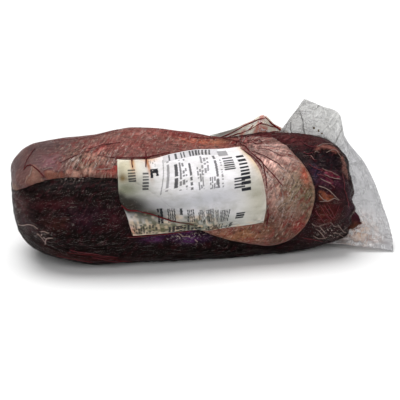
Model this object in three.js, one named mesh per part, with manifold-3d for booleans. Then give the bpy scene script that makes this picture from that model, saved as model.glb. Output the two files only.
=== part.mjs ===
// Raw beef top blade: two long muscles shrunk into one clear vacuum bag, a light one laid
// slantwise over a dark one, with a paper label under the film and the flat end of the bag
// sticking out.
//
// Millimetres. The meat lies along X with the open end of the bag at +X, the label faces -Y, Z is
// up, and the origin is on the floor under the middle of the meat.
//
// Places on the bag are given as [along, round]: "along" is the distance in millimetres from the
// closed end over the surface, and "round" is the angle in degrees about the X axis, with 0 at the
// label's side, 90 on top, 180 at the back and -90 underneath.

import * as THREE from "three";
import { mergeVertices } from "three/addons/utils/BufferGeometryUtils.js";
import Module from "manifold-3d";

// ---- Driving dimensions ----------------------------------------------------------------------

const CLOSED_END_X = 173.5; // from the origin to the closed end
const OPEN_END_X = 169.0; // from the origin to the end that carries the flat of the bag
const SECTION_POWER = 2.3; // 2 is an oval section, more is boxier
const FLOOR_SINK = 6.0; // the section runs this far below the floor and is cut flat there

// Across the meat at some places along X: [x, height, half the depth].
const STATIONS = [
  [-174, 110, 66],
  [-135, 118.5, 70],
  [-90, 120, 71],
  [-45, 125.5, 71.5],
  [30, 113.5, 68],
  [90, 114, 66],
  [140, 113, 66],
  [169, 110, 65],
];

// How each end closes: the height of its middle, how boxy it is low down and high up, and the
// height that the relief dies away to at its tip.
const CLOSED_END = { middle: 79, low: 3.6, high: 4.3, tipRelief: 0 };
const OPEN_END = { middle: 26, low: 3.4, high: 6.9, tipRelief: -3 };
const END_BLEND = 60; // over this length the one end's middle turns into the other's

const ROUND_RADIUS = 68; // turns an angle about X into a distance over the surface
const MERIDIAN_POWER = 4; // the curve that "along" is measured on

// The light blade lies over the dark one inside this closed line of [along, round].
const BLADE_EDGE = [
  [-30, 4], [34, 33], [73, 47], [126, 44], [159, 32], [207, 1], [245, -19], [286, -32],
  [312, -29], [329, -12], [338, 12], [336, 32], [326, 58], [317, 76], [303, 90], [276, 97],
  [250, 105], [215, 117], [165, 134], [110, 148], [50, 158], [-30, 176],
];
const BLADE_TOP = 2; // how far the light blade stands above the plain surface
const BLADE_ROUNDING = 15; // its edge rounds over in this width
const GROOVE_DEPTH = 6.5; // the groove where the two meet
const GROOVE_WIDTH = 14;
const GROOVE_AT_TIP = 0.3; // the share of the groove's depth that is left at the closed end
const GROOVE_FULL_FROM = 80; // how far along the groove reaches its full depth

// Folds pulled into the film: [from, to, width, depth], depth above 0 for a ridge.
const FOLDS = [
  [[271, 78], [286, 30], 5, -2.2],
  [[286, 30], [288, -14], 5, -2.0],
  [[274, 74], [312, 34], 6, 1.6],
  [[276, 66], [304, 12], 6, 1.5],
  [[280, 84], [322, 62], 7, -1.6],
  [[70, 78], [268, 84], 8, -1.5],
  [[40, 12], [120, 22], 9, -2.2],
  [[70, -28], [190, -22], 11, -2.0],
  [[345, 62], [392, 30], 8, -2.6],
  [[352, 24], [398, 4], 7, 2.0],
  [[344, -12], [392, -24], 8, -2.4],
  [[90, 108], [230, 112], 10, -1.8],
  [[60, 190], [330, 182], 12, -2.4],
  [[120, 215], [380, 208], 10, 1.8],
];
const LUMP_HEIGHT = 1.5; // slow unevenness of the meat
const END_PLEAT_DEPTH = 2.2; // the film gathers towards the open end
const END_PLEATS = 11;

// The paper label: its four edges, each a line of [along, round].
const LABEL_TOP = [[144.5, 54], [160, 51], [178, 51], [200, 59], [222, 67], [248, 71], [269, 74]];
const LABEL_BOTTOM = [[155.5, -11], [184, -10.6], [228, -8], [246, -5.5], [284.5, -3.3]];
const LABEL_LEFT = [[155.5, -11], [150, 3], [143.5, 18], [143, 36], [144.5, 54]];
const LABEL_RIGHT = [[284.5, -3.3], [287.5, 10], [285, 36], [279, 54], [269, 74]];
const LABEL_THICKNESS = 0.8;
const LABEL_CLEARANCE = 0.9; // between the paper and the film's highest point round it
const LABEL_STIFFNESS = 0.45; // the share of the blade's step that still shows under the paper

// The flat end of the bag, two films thick: the line where it leaves the meat, and its open mouth,
// from the upper fold to the lower one, as [x, y, z].
const TAIL_ROOT = [
  [100, 30, 104], [128, 22, 102], [150, 12, 96], [157, 4, 76], [158, -4, 50], [154, -14, 26],
  [140, -34, 9],
];
const TAIL_MOUTH = [
  [127, 20, 147], [145, 20, 139], [163, 18, 130.5], [169, 10, 106], [187, 0, 82], [199.5, -4, 57],
  [207, -10, 34], [212, -24, 12], [208, -48, 2.2],
];
const TAIL_ROOT_THICKNESS = 7;
const TAIL_MOUTH_THICKNESS = 1.4;
const TAIL_BULGE = 5; // the sheet bows this much between the meat and the mouth
const TAIL_RIPPLE = 1.6;

// The folded ear of film on top at the back: its foot and its crest, as [x, y, z].
const EAR_FOOT = [[30, 30, 104], [58, 31, 105], [86, 31, 105], [114, 29, 104]];
const EAR_CREST = [
  [32, 31, 109.5], [57, 32, 115.5], [74, 33, 121], [88, 33, 127.5], [99, 32, 118], [113, 30, 109.5],
];
const EAR_THICKNESS = 2.4;

const BODY_AROUND = 60;
const BODY_ALONG = 80;

// ---- The surface of the filled bag -----------------------------------------------------------

const radians = THREE.MathUtils.degToRad;
const smooth = THREE.MathUtils.smoothstep;
const mix = THREE.MathUtils.lerp;

function signedPower(value, power) {
  return Math.sign(value) * Math.abs(value) ** power;
}

// The meridian is tabulated once: for even steps along the surface, the place along X.
const MERIDIAN = (() => {
  const steps = 4000;
  const xs = [];
  const lengths = [0];
  let radiusBefore = 0;
  for (let i = 0; i <= steps; i++) {
    const turn = (Math.PI * i) / steps;
    const half = turn < Math.PI / 2 ? CLOSED_END_X : OPEN_END_X;
    const x = -half * signedPower(Math.cos(turn), 2 / MERIDIAN_POWER);
    const radius = ROUND_RADIUS * Math.sin(turn) ** (2 / MERIDIAN_POWER);
    if (i > 0) lengths.push(lengths[i - 1] + Math.hypot(x - xs[i - 1], radius - radiusBefore));
    xs.push(x);
    radiusBefore = radius;
  }
  return { xs, lengths, total: lengths[steps] };
})();

function xAlong(along) {
  const { xs, lengths } = MERIDIAN;
  let low = 0;
  let high = lengths.length - 1;
  while (high - low > 1) {
    const middle = (low + high) >> 1;
    if (lengths[middle] <= along) low = middle;
    else high = middle;
  }
  const part = (along - lengths[low]) / (lengths[high] - lengths[low]);
  return mix(xs[low], xs[high], THREE.MathUtils.clamp(part, 0, 1));
}

// The height or half depth of the meat at x, by a smooth curve through the stations.
function stationValue(x, column) {
  const last = STATIONS.length - 1;
  let i = 0;
  while (i < last - 1 && STATIONS[i + 1][0] <= x) i++;
  const slope = (k) => {
    const before = STATIONS[Math.max(k - 1, 0)];
    const after = STATIONS[Math.min(k + 1, last)];
    return (after[column] - before[column]) / (after[0] - before[0]);
  };
  const [x0, x1] = [STATIONS[i][0], STATIONS[i + 1][0]];
  const t = THREE.MathUtils.clamp((x - x0) / (x1 - x0), 0, 1);
  return (
    (2 * t ** 3 - 3 * t ** 2 + 1) * STATIONS[i][column] +
    (t ** 3 - 2 * t ** 2 + t) * (x1 - x0) * slope(i) +
    (-2 * t ** 3 + 3 * t ** 2) * STATIONS[i + 1][column] +
    (t ** 3 - t ** 2) * (x1 - x0) * slope(i + 1)
  );
}

// How full the section is at x: 1 along the meat, 0 at the tips.
function fullness(x, round) {
  const end = x < 0 ? CLOSED_END : OPEN_END;
  const power = mix(end.low, end.high, 0.5 + 0.5 * Math.sin(radians(round)));
  const reach = Math.abs(x) / (x < 0 ? CLOSED_END_X : OPEN_END_X);
  return Math.max(1 - reach ** power, 0) ** (1 / power);
}

// The surface with no folds in it.
function plainPoint(along, round) {
  const x = xAlong(along);
  const full = fullness(x, round);
  const rise = (stationValue(x, 1) + FLOOR_SINK) / 2;
  const angle = radians(round);
  const y = -stationValue(x, 2) * signedPower(Math.cos(angle), 2 / SECTION_POWER);
  const z = rise - FLOOR_SINK + rise * signedPower(Math.sin(angle), 2 / SECTION_POWER);
  const middle = mix(CLOSED_END.middle, OPEN_END.middle, 0.5 + 0.5 * Math.tanh(x / END_BLEND));
  return new THREE.Vector3(x, y * full, middle + (z - middle) * full);
}

function outward(along, round) {
  const step = 0.5;
  const before = Math.max(along - step, 0);
  const after = Math.min(along + step, MERIDIAN.total);
  const lengthwise = plainPoint(after, round).sub(plainPoint(before, round));
  const roundwise = plainPoint(along, round + step).sub(plainPoint(along, round - step));
  return lengthwise.cross(roundwise).normalize();
}

// A point at a height over the plain surface, never below the floor.
function bagPoint(along, round, height) {
  const point = plainPoint(along, round).addScaledVector(outward(along, round), height);
  point.z = Math.max(point.z, 0);
  return point;
}

// ---- Relief: the blade's step, the folds and the pleats --------------------------------------

const BLADE_LINE = new THREE.SplineCurve(
  [...BLADE_EDGE, BLADE_EDGE[0]].map(([along, round]) => new THREE.Vector2(along, round)),
).getPoints(120);

function distanceToSegment(px, py, ax, ay, bx, by) {
  const [dx, dy] = [bx - ax, by - ay];
  const t = THREE.MathUtils.clamp(((px - ax) * dx + (py - ay) * dy) / (dx * dx + dy * dy), 0, 1);
  return Math.hypot(px - ax - t * dx, py - ay - t * dy);
}

// Millimetres per degree round the bag, less near the tips.
function roundScale(along) {
  return radians(1) * ROUND_RADIUS * Math.max(fullness(xAlong(along), 0), 0.3);
}

// How far inside the light blade's edge a place is, below 0 outside it.
function insideBlade(along, round) {
  const scale = roundScale(along);
  let nearest = Infinity;
  let inside = false;
  for (let i = 1; i < BLADE_LINE.length; i++) {
    const [a, b] = [BLADE_LINE[i - 1], BLADE_LINE[i]];
    const distance = distanceToSegment(along, round * scale, a.x, a.y * scale, b.x, b.y * scale);
    nearest = Math.min(nearest, distance);
    if (a.y > round !== b.y > round) {
      const crossing = a.x + ((round - a.y) / (b.y - a.y)) * (b.x - a.x);
      if (along < crossing) inside = !inside;
    }
  }
  return inside ? nearest : -nearest;
}

function bladeStep(along, round) {
  const distance = insideBlade(along, round);
  const groove = GROOVE_DEPTH * mix(GROOVE_AT_TIP, 1, smooth(along, 10, GROOVE_FULL_FROM));
  if (distance < 0) return -groove * Math.exp(-((distance / GROOVE_WIDTH) ** 2));
  const over = 1 - Math.min(distance / BLADE_ROUNDING, 1);
  return -groove + (BLADE_TOP + groove) * (1 - over * over);
}

function foldRelief(along, round) {
  const scale = roundScale(along);
  let height = 0;
  for (const [from, to, width, depth] of FOLDS) {
    const distance = distanceToSegment(
      along, round * scale, from[0], from[1] * scale, to[0], to[1] * scale,
    );
    height += depth * Math.exp(-((distance / width) ** 2));
  }
  return height;
}

function lumps(along, round) {
  const angle = radians(round);
  const waves =
    Math.sin(along / 19 + 2 * Math.cos(angle) + 0.6) * Math.cos(3 * angle + along / 60) +
    0.7 * Math.sin(along / 11.5 - 2 * Math.sin(2 * angle) + 2.1) * Math.sin(5 * angle + 0.8);
  return (LUMP_HEIGHT / 1.7) * waves;
}

function endPleats(along, round) {
  const near = smooth(along, MERIDIAN.total - 75, MERIDIAN.total - 20);
  const angle = radians(round);
  return END_PLEAT_DEPTH * near * Math.sin(END_PLEATS * angle + 1.6 * Math.sin(3 * angle));
}

// Where the paper lies the film is held smoother: 1 well inside the label, 0 outside it.
function underLabel(along, round) {
  const [left, right] = [LABEL_LEFT[2][0], LABEL_RIGHT[1][0]];
  const [low, high] = [LABEL_BOTTOM[0][1], LABEL_TOP[LABEL_TOP.length - 1][1]];
  const lengthwise = smooth(along, left - 8, left + 8) * (1 - smooth(along, right - 8, right + 8));
  const upright = smooth(round, low - 8, low + 6) * (1 - smooth(round, high - 10, high + 4));
  return lengthwise * upright;
}

function relief(along, round) {
  const x = xAlong(along);
  const awayFromTip = smooth(fullness(x, 0), 0.15, 0.75);
  const paper = underLabel(along, round);
  const step = bladeStep(along, round) * mix(1, LABEL_STIFFNESS, paper);
  const small = foldRelief(along, round) + lumps(along, round) + endPleats(along, round);
  const { tipRelief } = x < 0 ? CLOSED_END : OPEN_END;
  return mix(tipRelief, step + small * (1 - 0.7 * paper), awayFromTip);
}

// ---- Solids ----------------------------------------------------------------------------------

function material(colour, roughness) {
  return new THREE.MeshStandardMaterial({ color: colour, roughness, metalness: 0 });
}

// Moves every vertex of a stock geometry and closes its seams.
function reshape(geometry, move) {
  geometry.deleteAttribute("normal");
  geometry.deleteAttribute("uv");
  const position = geometry.getAttribute("position");
  const vertex = new THREE.Vector3();
  for (let i = 0; i < position.count; i++) {
    vertex.fromBufferAttribute(position, i);
    const moved = move(vertex);
    position.setXYZ(i, moved.x, moved.y, moved.z);
  }
  return mergeVertices(geometry, 1e-3);
}

// A ball with its poles on X, each vertex sent to its place on the filled bag.
function filledBag() {
  const ball = new THREE.SphereGeometry(1, BODY_AROUND, BODY_ALONG);
  return reshape(ball, (vertex) => {
    const along = (Math.acos(THREE.MathUtils.clamp(-vertex.y, -1, 1)) / Math.PI) * MERIDIAN.total;
    const ring = Math.hypot(vertex.x, vertex.z);
    if (ring < 1e-6) {
      const atClosedEnd = along < 1;
      const { tipRelief } = atClosedEnd ? CLOSED_END : OPEN_END;
      return bagPoint(atClosedEnd ? 0.01 : MERIDIAN.total - 0.01, 0, tipRelief);
    }
    let round = THREE.MathUtils.radToDeg(Math.atan2(vertex.x, -vertex.z));
    if (round < -89.999) round += 360;
    return bagPoint(along, round, relief(along, round));
  });
}

function curveThrough(points) {
  return new THREE.CatmullRomCurve3(points.map((p) => new THREE.Vector3(...p)), false, "centripetal");
}

// A thin closed sheet between two lines. "across" runs 0 to 1 along both lines, "out" from the
// first to the second; bend gives an offset along the sheet's normal, thickness its thickness.
function sheetBetween(first, second, steps, rows, thickness, bend) {
  const [from, to] = [curveThrough(first), curveThrough(second)];
  const middle = (across, out) => {
    const a = THREE.MathUtils.clamp(across, 0, 1);
    return from.getPoint(a).lerp(to.getPoint(a), out);
  };
  const normal = (across, out) => {
    const e = 0.02;
    const lengthwise = middle(across + e, out).sub(middle(across - e, out));
    const upward = middle(across, Math.min(out + e, 1)).sub(middle(across, Math.max(out - e, 0)));
    return lengthwise.cross(upward).normalize();
  };
  const slab = new THREE.BoxGeometry(1, 1, 1, steps, rows, 1);
  return reshape(slab, (vertex) => {
    const [across, out] = [vertex.x + 0.5, vertex.y + 0.5];
    const lift = vertex.z * thickness(across, out) + bend(across, out);
    const point = middle(across, out).addScaledVector(normal(across, out), lift);
    point.z = Math.max(point.z, 0.6 + vertex.z);
    return point;
  });
}

// The flat end of the bag.
function tail() {
  const thickness = (across, out) => mix(TAIL_ROOT_THICKNESS, TAIL_MOUTH_THICKNESS, Math.sqrt(out));
  const bend = (across, out) => {
    const bow = TAIL_BULGE * Math.sin(Math.PI * out) * Math.sin(Math.PI * across);
    const ripple = TAIL_RIPPLE * Math.sin(34 * across + 3 * out) * smooth(out, 0.1, 0.5);
    return bow + ripple * smooth(across, 0, 0.1) * (1 - smooth(across, 0.9, 1));
  };
  return sheetBetween(TAIL_ROOT, TAIL_MOUTH, 30, 7, thickness, bend);
}

// The ear of film.
function ear() {
  const thickness = (across, out) => mix(EAR_THICKNESS * 1.8, EAR_THICKNESS * 0.6, out);
  const bend = (across, out) => 2.2 * out * Math.sin(11 * across);
  return sheetBetween(EAR_FOOT, EAR_CREST, 16, 3, thickness, bend);
}

// The label's patch between its four edges.
function labelPlace(across, up) {
  const line = (points) => new THREE.SplineCurve(points.map((p) => new THREE.Vector2(...p)));
  const [top, bottom] = [line(LABEL_TOP).getPoint(across), line(LABEL_BOTTOM).getPoint(across)];
  const [left, right] = [line(LABEL_LEFT).getPoint(up), line(LABEL_RIGHT).getPoint(up)];
  const corner = (points, at) => new THREE.Vector2(...points.at(at));
  const corners = corner(LABEL_BOTTOM, 0).multiplyScalar((1 - across) * (1 - up))
    .addScaledVector(corner(LABEL_BOTTOM, -1), across * (1 - up))
    .addScaledVector(corner(LABEL_TOP, 0), (1 - across) * up)
    .addScaledVector(corner(LABEL_TOP, -1), across * up);
  return bottom.multiplyScalar(1 - up).addScaledVector(top, up)
    .addScaledVector(left, 1 - across).addScaledVector(right, across).sub(corners);
}

// The film's height that the paper lies on: it bridges the small hollows round it.
function reliefUnderPaper(along, round) {
  const reach = 4;
  let highest = -Infinity;
  for (const lengthwise of [-reach, 0, reach]) {
    for (const roundwise of [-reach, 0, reach]) {
      highest = Math.max(highest, relief(along + lengthwise, round + roundwise));
    }
  }
  return highest;
}

function label() {
  const sheet = new THREE.BoxGeometry(1, 1, 1, 26, 18, 1);
  return reshape(sheet, (vertex) => {
    const { x: along, y: round } = labelPlace(vertex.x + 0.5, vertex.y + 0.5);
    const lift = LABEL_CLEARANCE + (vertex.z + 0.5) * LABEL_THICKNESS;
    return bagPoint(along, round, reliefUnderPaper(along, round) + lift);
  });
}

// ---- Joining the film's pieces into one solid ------------------------------------------------

const wasm = await Module();
wasm.setup();

function toSolid(geometry) {
  return new wasm.Manifold(
    new wasm.Mesh({
      numProp: 3,
      vertProperties: new Float32Array(geometry.getAttribute("position").array),
      triVerts: new Uint32Array(geometry.getIndex().array),
    }),
  );
}

function toGeometry(solid) {
  const mesh = solid.getMesh();
  const geometry = new THREE.BufferGeometry();
  geometry.setAttribute("position", new THREE.BufferAttribute(mesh.vertProperties, 3));
  geometry.setIndex(new THREE.BufferAttribute(mesh.triVerts, 1));
  geometry.computeVertexNormals();
  return geometry;
}

function joined(...geometries) {
  return toGeometry(geometries.map(toSolid).reduce((whole, piece) => whole.add(piece)));
}

// ---- The part --------------------------------------------------------------------------------

function piece(name, geometry, look) {
  const mesh = new THREE.Mesh(geometry, look);
  mesh.name = name;
  return mesh;
}

const part = new THREE.Group();
part.add(piece("bag", joined(filledBag(), tail(), ear()), material(0x5a3a36, 0.3)));
part.add(piece("label", label(), material(0xe8e6e8, 0.5)));

export default part;
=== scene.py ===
"""Raw beef top blade in a clear vacuum bag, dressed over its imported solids.

Metres. The meat lies along X with the open end of the bag at +X, the label faces -Y, Z is up and
the origin is on the floor under the middle of the meat.

A place on the bag is (along, round): "along" is the distance over the surface from the closed end
and "round" is the angle in degrees about X, with 0 at the label's side, 90 on top, 180 at the back
and -90 underneath.
"""

import itertools
import math

import bmesh
import bpy
import numpy as np
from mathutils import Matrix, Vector


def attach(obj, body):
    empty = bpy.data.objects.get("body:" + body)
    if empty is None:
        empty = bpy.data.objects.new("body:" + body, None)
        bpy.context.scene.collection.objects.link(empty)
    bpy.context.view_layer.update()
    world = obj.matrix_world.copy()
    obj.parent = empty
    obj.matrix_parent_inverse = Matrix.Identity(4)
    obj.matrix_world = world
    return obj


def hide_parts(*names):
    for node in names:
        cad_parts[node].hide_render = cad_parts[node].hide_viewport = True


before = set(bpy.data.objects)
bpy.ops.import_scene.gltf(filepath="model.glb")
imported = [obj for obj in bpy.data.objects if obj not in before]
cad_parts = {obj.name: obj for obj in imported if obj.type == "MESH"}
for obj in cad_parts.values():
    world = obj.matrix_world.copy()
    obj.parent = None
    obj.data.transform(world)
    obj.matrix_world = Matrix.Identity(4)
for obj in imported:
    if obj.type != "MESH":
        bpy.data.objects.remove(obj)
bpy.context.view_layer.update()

# ---- Driving dimensions, as in the part's source -------------------------------------------------

CLOSED_END_X = 0.1735  # from the origin to the closed end
OPEN_END_X = 0.169  # from the origin to the end that carries the flat of the bag
SECTION_POWER = 2.3  # 2 is an oval section, more is boxier
FLOOR_SINK = 0.006  # the section runs this far below the floor and is cut flat there

# Across the meat at some places along X: (x, height, half the depth).
STATIONS = np.array(
    [
        (-0.174, 0.110, 0.066),
        (-0.135, 0.1185, 0.070),
        (-0.090, 0.120, 0.071),
        (-0.045, 0.1255, 0.0715),
        (0.030, 0.1135, 0.068),
        (0.090, 0.114, 0.066),
        (0.140, 0.113, 0.066),
        (0.169, 0.110, 0.065),
    ]
)

# How each end closes: the height of its middle, how boxy it is low down and high up, and the
# height that the relief dies away to at its tip.
CLOSED_MIDDLE, CLOSED_LOW, CLOSED_HIGH, CLOSED_TIP = 0.079, 3.6, 4.3, 0.0
OPEN_MIDDLE, OPEN_LOW, OPEN_HIGH, OPEN_TIP = 0.026, 3.4, 6.9, -0.003
END_BLEND = 0.060

ROUND_RADIUS = 0.068  # turns an angle about X into a distance over the surface
DEGREE = math.radians(1) * ROUND_RADIUS  # that distance for one degree
MERIDIAN_POWER, MERIDIAN_STEPS = 4, 4000

# The pale blade lies over the dark one inside this closed line of (along, round).
BLADE_EDGE = [
    (-0.030, 4), (0.034, 33), (0.073, 47), (0.126, 44), (0.159, 32), (0.207, 1), (0.245, -19),
    (0.286, -32), (0.312, -29), (0.329, -12), (0.338, 12), (0.336, 32), (0.326, 58), (0.317, 76),
    (0.303, 90), (0.276, 97), (0.250, 105), (0.215, 117), (0.165, 134), (0.110, 148), (0.050, 158),
    (-0.030, 176),
]
BLADE_TOP = 0.002  # over the plain surface
BLADE_ROUNDING = 0.015
GROOVE_DEPTH = 0.0065
GROOVE_WIDTH = 0.014
GROOVE_AT_TIP = 0.3  # the share of its depth that is left at the closed end
GROOVE_FULL_FROM = 0.080

# Folds pulled into the film: (from, to, width, depth), depth above 0 for a ridge.
FOLDS = [
    ((0.271, 78), (0.286, 30), 0.005, -0.0022),
    ((0.286, 30), (0.288, -14), 0.005, -0.0020),
    ((0.274, 74), (0.312, 34), 0.006, 0.0016),
    ((0.276, 66), (0.304, 12), 0.006, 0.0015),
    ((0.280, 84), (0.322, 62), 0.007, -0.0016),
    ((0.070, 78), (0.268, 84), 0.008, -0.0015),
    ((0.040, 12), (0.120, 22), 0.009, -0.0022),
    ((0.070, -28), (0.190, -22), 0.011, -0.0020),
    ((0.345, 62), (0.392, 30), 0.008, -0.0026),
    ((0.352, 24), (0.398, 4), 0.007, 0.0020),
    ((0.344, -12), (0.392, -24), 0.008, -0.0024),
    ((0.090, 108), (0.230, 112), 0.010, -0.0018),
    ((0.060, 190), (0.330, 182), 0.012, -0.0024),
    ((0.120, 215), (0.380, 208), 0.010, 0.0018),
]
LUMP_HEIGHT = 0.0015
END_PLEAT_DEPTH = 0.0022
END_PLEATS = 11

# The paper label: its four edges, each a line of (along, round).
LABEL_TOP = [
    (0.1445, 54), (0.160, 51), (0.178, 51), (0.200, 59), (0.222, 67), (0.248, 71), (0.269, 74),
]
LABEL_BOTTOM = [(0.1555, -11), (0.184, -10.6), (0.228, -8), (0.246, -5.5), (0.2845, -3.3)]
LABEL_LEFT = [(0.1555, -11), (0.150, 3), (0.1435, 18), (0.143, 36), (0.1445, 54)]
LABEL_RIGHT = [(0.2845, -3.3), (0.2875, 10), (0.285, 36), (0.279, 54), (0.269, 74)]
LABEL_STIFFNESS = 0.45  # the share of the blade's step that still shows under the paper

# The flat end of the bag: the line where it leaves the meat, and its open mouth, from the upper
# fold to the lower one, as (x, y, z).
TAIL_ROOT = [
    (0.100, 0.030, 0.104), (0.128, 0.022, 0.102), (0.150, 0.012, 0.096), (0.157, 0.004, 0.076),
    (0.158, -0.004, 0.050), (0.154, -0.014, 0.026), (0.140, -0.034, 0.009),
]
TAIL_MOUTH = [
    (0.127, 0.020, 0.147), (0.145, 0.020, 0.139), (0.163, 0.018, 0.1305), (0.169, 0.010, 0.106),
    (0.187, 0.000, 0.082), (0.1995, -0.004, 0.057), (0.207, -0.010, 0.034), (0.212, -0.024, 0.012),
    (0.208, -0.048, 0.0022),
]
TAIL_BULGE = 0.005

# The folded ear of film on top at the back: its foot and its crest.
EAR_FOOT = [
    (0.030, 0.030, 0.104), (0.058, 0.031, 0.105), (0.086, 0.031, 0.105), (0.114, 0.029, 0.104),
]
EAR_CREST = [
    (0.032, 0.031, 0.1095), (0.057, 0.032, 0.1155), (0.074, 0.033, 0.121), (0.088, 0.033, 0.1275),
    (0.099, 0.032, 0.118), (0.113, 0.030, 0.1095),
]

# ---- Sizes that only the dressed part has --------------------------------------------------------

FLOOR_CLEARANCE, SHEET_CLEARANCE = 0.0004, 0.0005  # under the lowest meat and loose film
SHOULDER_RISE = 0.0035  # the pale blade's square shoulder at the closed end
SHOULDER_PLACE, SHOULDER_REACH = (0.062, 95), (0.014, 45)
PALE_THICKNESS = 0.006
PALE_RIM_BELOW = 0.0075  # how far the pale blade runs on past its edge, down in the groove
RIM_START, RIM_DIVE = 0.0012, 0.009  # where its rim starts to dive, past its edge, and how deep
BED_DEPTH = 0.0015  # the dark blade's bed under the pale one, below the groove
MUSCLE_RIPPLE, DARK_ROUGHNESS = 0.0005, 0.0008  # the meat's bundles and dimples, and fine bumps
RAGGED_EDGE = 0.0028  # how far the edges of patches wander
FOLLOWS_FILM = 0.8  # how much of the film's folds the meat under it takes up

LABEL_LIFT = 0.0009  # the paper over the meat
LABEL_THICKNESS = 0.0003
FILM_GAP = 0.0005  # between the film and the meat
PAPER_GAP = 0.0004  # between the film and the paper
FILM_CRUMPLE = 0.0004
LONG_FOLD, FAN_FOLD, CROSS_FOLD = 0.0006, 0.0017, 0.0018  # heights of the film's pulled folds
FULL_FOLD = 0.0011  # the height at which a fold's painted highlight is full

# The small pointed tongue of meat at the open end, in front of the flat of the bag.
TIP_MIDDLE, TIP_SIZE = (0.1660, -0.0195, 0.0300), (0.0125, 0.0070, 0.0135)

LOOSE_FILM_THICKNESS = 0.0006
TAIL_LENGTH, TAIL_HEIGHT = 0.19, 0.05  # the size that the flat end's creases are laid out for
TAIL_RIPPLE, TAIL_CREASE, TAIL_CRUMPLE = 0.0014, 0.0018, 0.0026
# Its low corner, as (place, reach) in shares of the length and the height.
CRUMPLED_CORNER = (0.90, 0.45), (0.10, 0.35)
SOAKED_CORNER = (0.90, 0.40), (0.09, 0.34)
EAR_LENGTH, EAR_HEIGHT = 0.085, 0.018
EAR_WAVE, EAR_RIPPLE = 0.0022, 0.0014

# Lines on the film: how thick and how arched they are, how far they wander lengthwise and round,
# and how far they sink into the film or stand off the loose film.
LINE_THICKNESS, LINE_ARCH = 0.0003, 0.00025
LINE_WANDER, LINE_WANDER_ROUND = 0.0003, 0.3
LINE_SINK, LOOSE_LINE_LIFT = 0.0001, 0.0007

# How finely each skin is divided: from end to end, and round the bag or up.
DARK_MESH, PALE_MESH, FILM_MESH = (300, 288), (350, 336), (300, 288)
LABEL_MESH, TAIL_MESH, EAR_MESH, TIP_MESH = (264, 180), (200, 60), (90, 20), (32, 48)

# ---- Small sums ----------------------------------------------------------------------------------


def signed_power(value, power):
    return np.sign(value) * np.abs(value) ** power


def smooth(value, low, high):
    t = np.clip((value - low) / (high - low), 0, 1)
    return t * t * (3 - 2 * t)


def mix(a, b, t):
    return a + (b - a) * t


def lay_over(values, others, cover):
    """Each vertex's colour or marks, changed to others by its cover."""
    return mix(values, others, cover[:, None])


def bell(distance, reach):
    """1 at no distance, dying away over the reach."""
    return np.exp(-((distance / reach) ** 2))


def spot(x, y, place, reach):
    """1 at a flat place, dying away over its reach each way."""
    return np.exp(-(((x - place[0]) / reach[0]) ** 2) - ((y - place[1]) / reach[1]) ** 2)


def pattern(x, y):
    """Flat places as the points that noise takes."""
    return np.stack([x, y, 0 * x], axis=-1)


def lattice_value(cell, seed):
    n = cell[..., 0] * 374761393 + cell[..., 1] * 668265263 + cell[..., 2] * 1440662683
    n = n + seed * 9747114
    n = (n ^ (n >> 13)) * 1274126177
    return ((n ^ (n >> 16)) & 0xFFFFFF) / 0xFFFFFF * 2 - 1


def noise(points, seed=0):
    """Smooth noise from -1 to 1 at points (..., 3), one lump a unit."""
    cell = np.floor(points).astype(np.int64)
    part = points - cell
    part = part * part * (3 - 2 * part)
    total = 0
    for corner in itertools.product((0, 1), repeat=3):
        weight = np.prod(np.where(corner, part, 1 - part), axis=-1)
        total = total + weight * lattice_value(cell + np.array(corner), seed)
    return total


def creases(points, seed, sharpness):
    """Thin ridges of height 1 where noise crosses 0, 0 between them."""
    return np.clip(1 - np.abs(noise(points, seed)) * sharpness, 0, 1) ** 2


# ---- The surface of the filled bag ---------------------------------------------------------------


def tabulate_meridian():
    turn = np.linspace(0, math.pi, MERIDIAN_STEPS + 1)
    half = np.where(turn < math.pi / 2, CLOSED_END_X, OPEN_END_X)
    x = -half * signed_power(np.cos(turn), 2 / MERIDIAN_POWER)
    radius = ROUND_RADIUS * np.abs(np.sin(turn)) ** (2 / MERIDIAN_POWER)
    length = np.concatenate([[0], np.cumsum(np.hypot(np.diff(x), np.diff(radius)))])
    return x, length


MERIDIAN_X, MERIDIAN_LENGTH = tabulate_meridian()
TOTAL = float(MERIDIAN_LENGTH[-1])


def x_along(along):
    return np.interp(along, MERIDIAN_LENGTH, MERIDIAN_X)


def station_value(x, column):
    """The height or half depth of the meat at x, by a smooth curve through the stations."""
    xs, values = STATIONS[:, 0], STATIONS[:, column]
    ahead = np.minimum(np.arange(len(xs)) + 1, len(xs) - 1)
    behind = np.maximum(np.arange(len(xs)) - 1, 0)
    slopes = (values[ahead] - values[behind]) / (xs[ahead] - xs[behind])
    i = np.clip(np.searchsorted(xs, x, side="right") - 1, 0, len(xs) - 2)
    step = xs[i + 1] - xs[i]
    t = np.clip((x - xs[i]) / step, 0, 1)
    rising = (2 * t**3 - 3 * t**2 + 1) * values[i] + (t**3 - 2 * t**2 + t) * step * slopes[i]
    falling = (3 * t**2 - 2 * t**3) * values[i + 1] + (t**3 - t**2) * step * slopes[i + 1]
    return rising + falling


def fullness(x, round_):
    """How full the section is at x: 1 along the meat, 0 at the tips."""
    up = 0.5 + 0.5 * np.sin(np.radians(round_))
    closed = x < 0
    power = np.where(closed, mix(CLOSED_LOW, CLOSED_HIGH, up), mix(OPEN_LOW, OPEN_HIGH, up))
    reach = np.abs(x) / np.where(closed, CLOSED_END_X, OPEN_END_X)
    return np.maximum(1 - reach**power, 1e-12) ** (1 / power)


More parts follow.
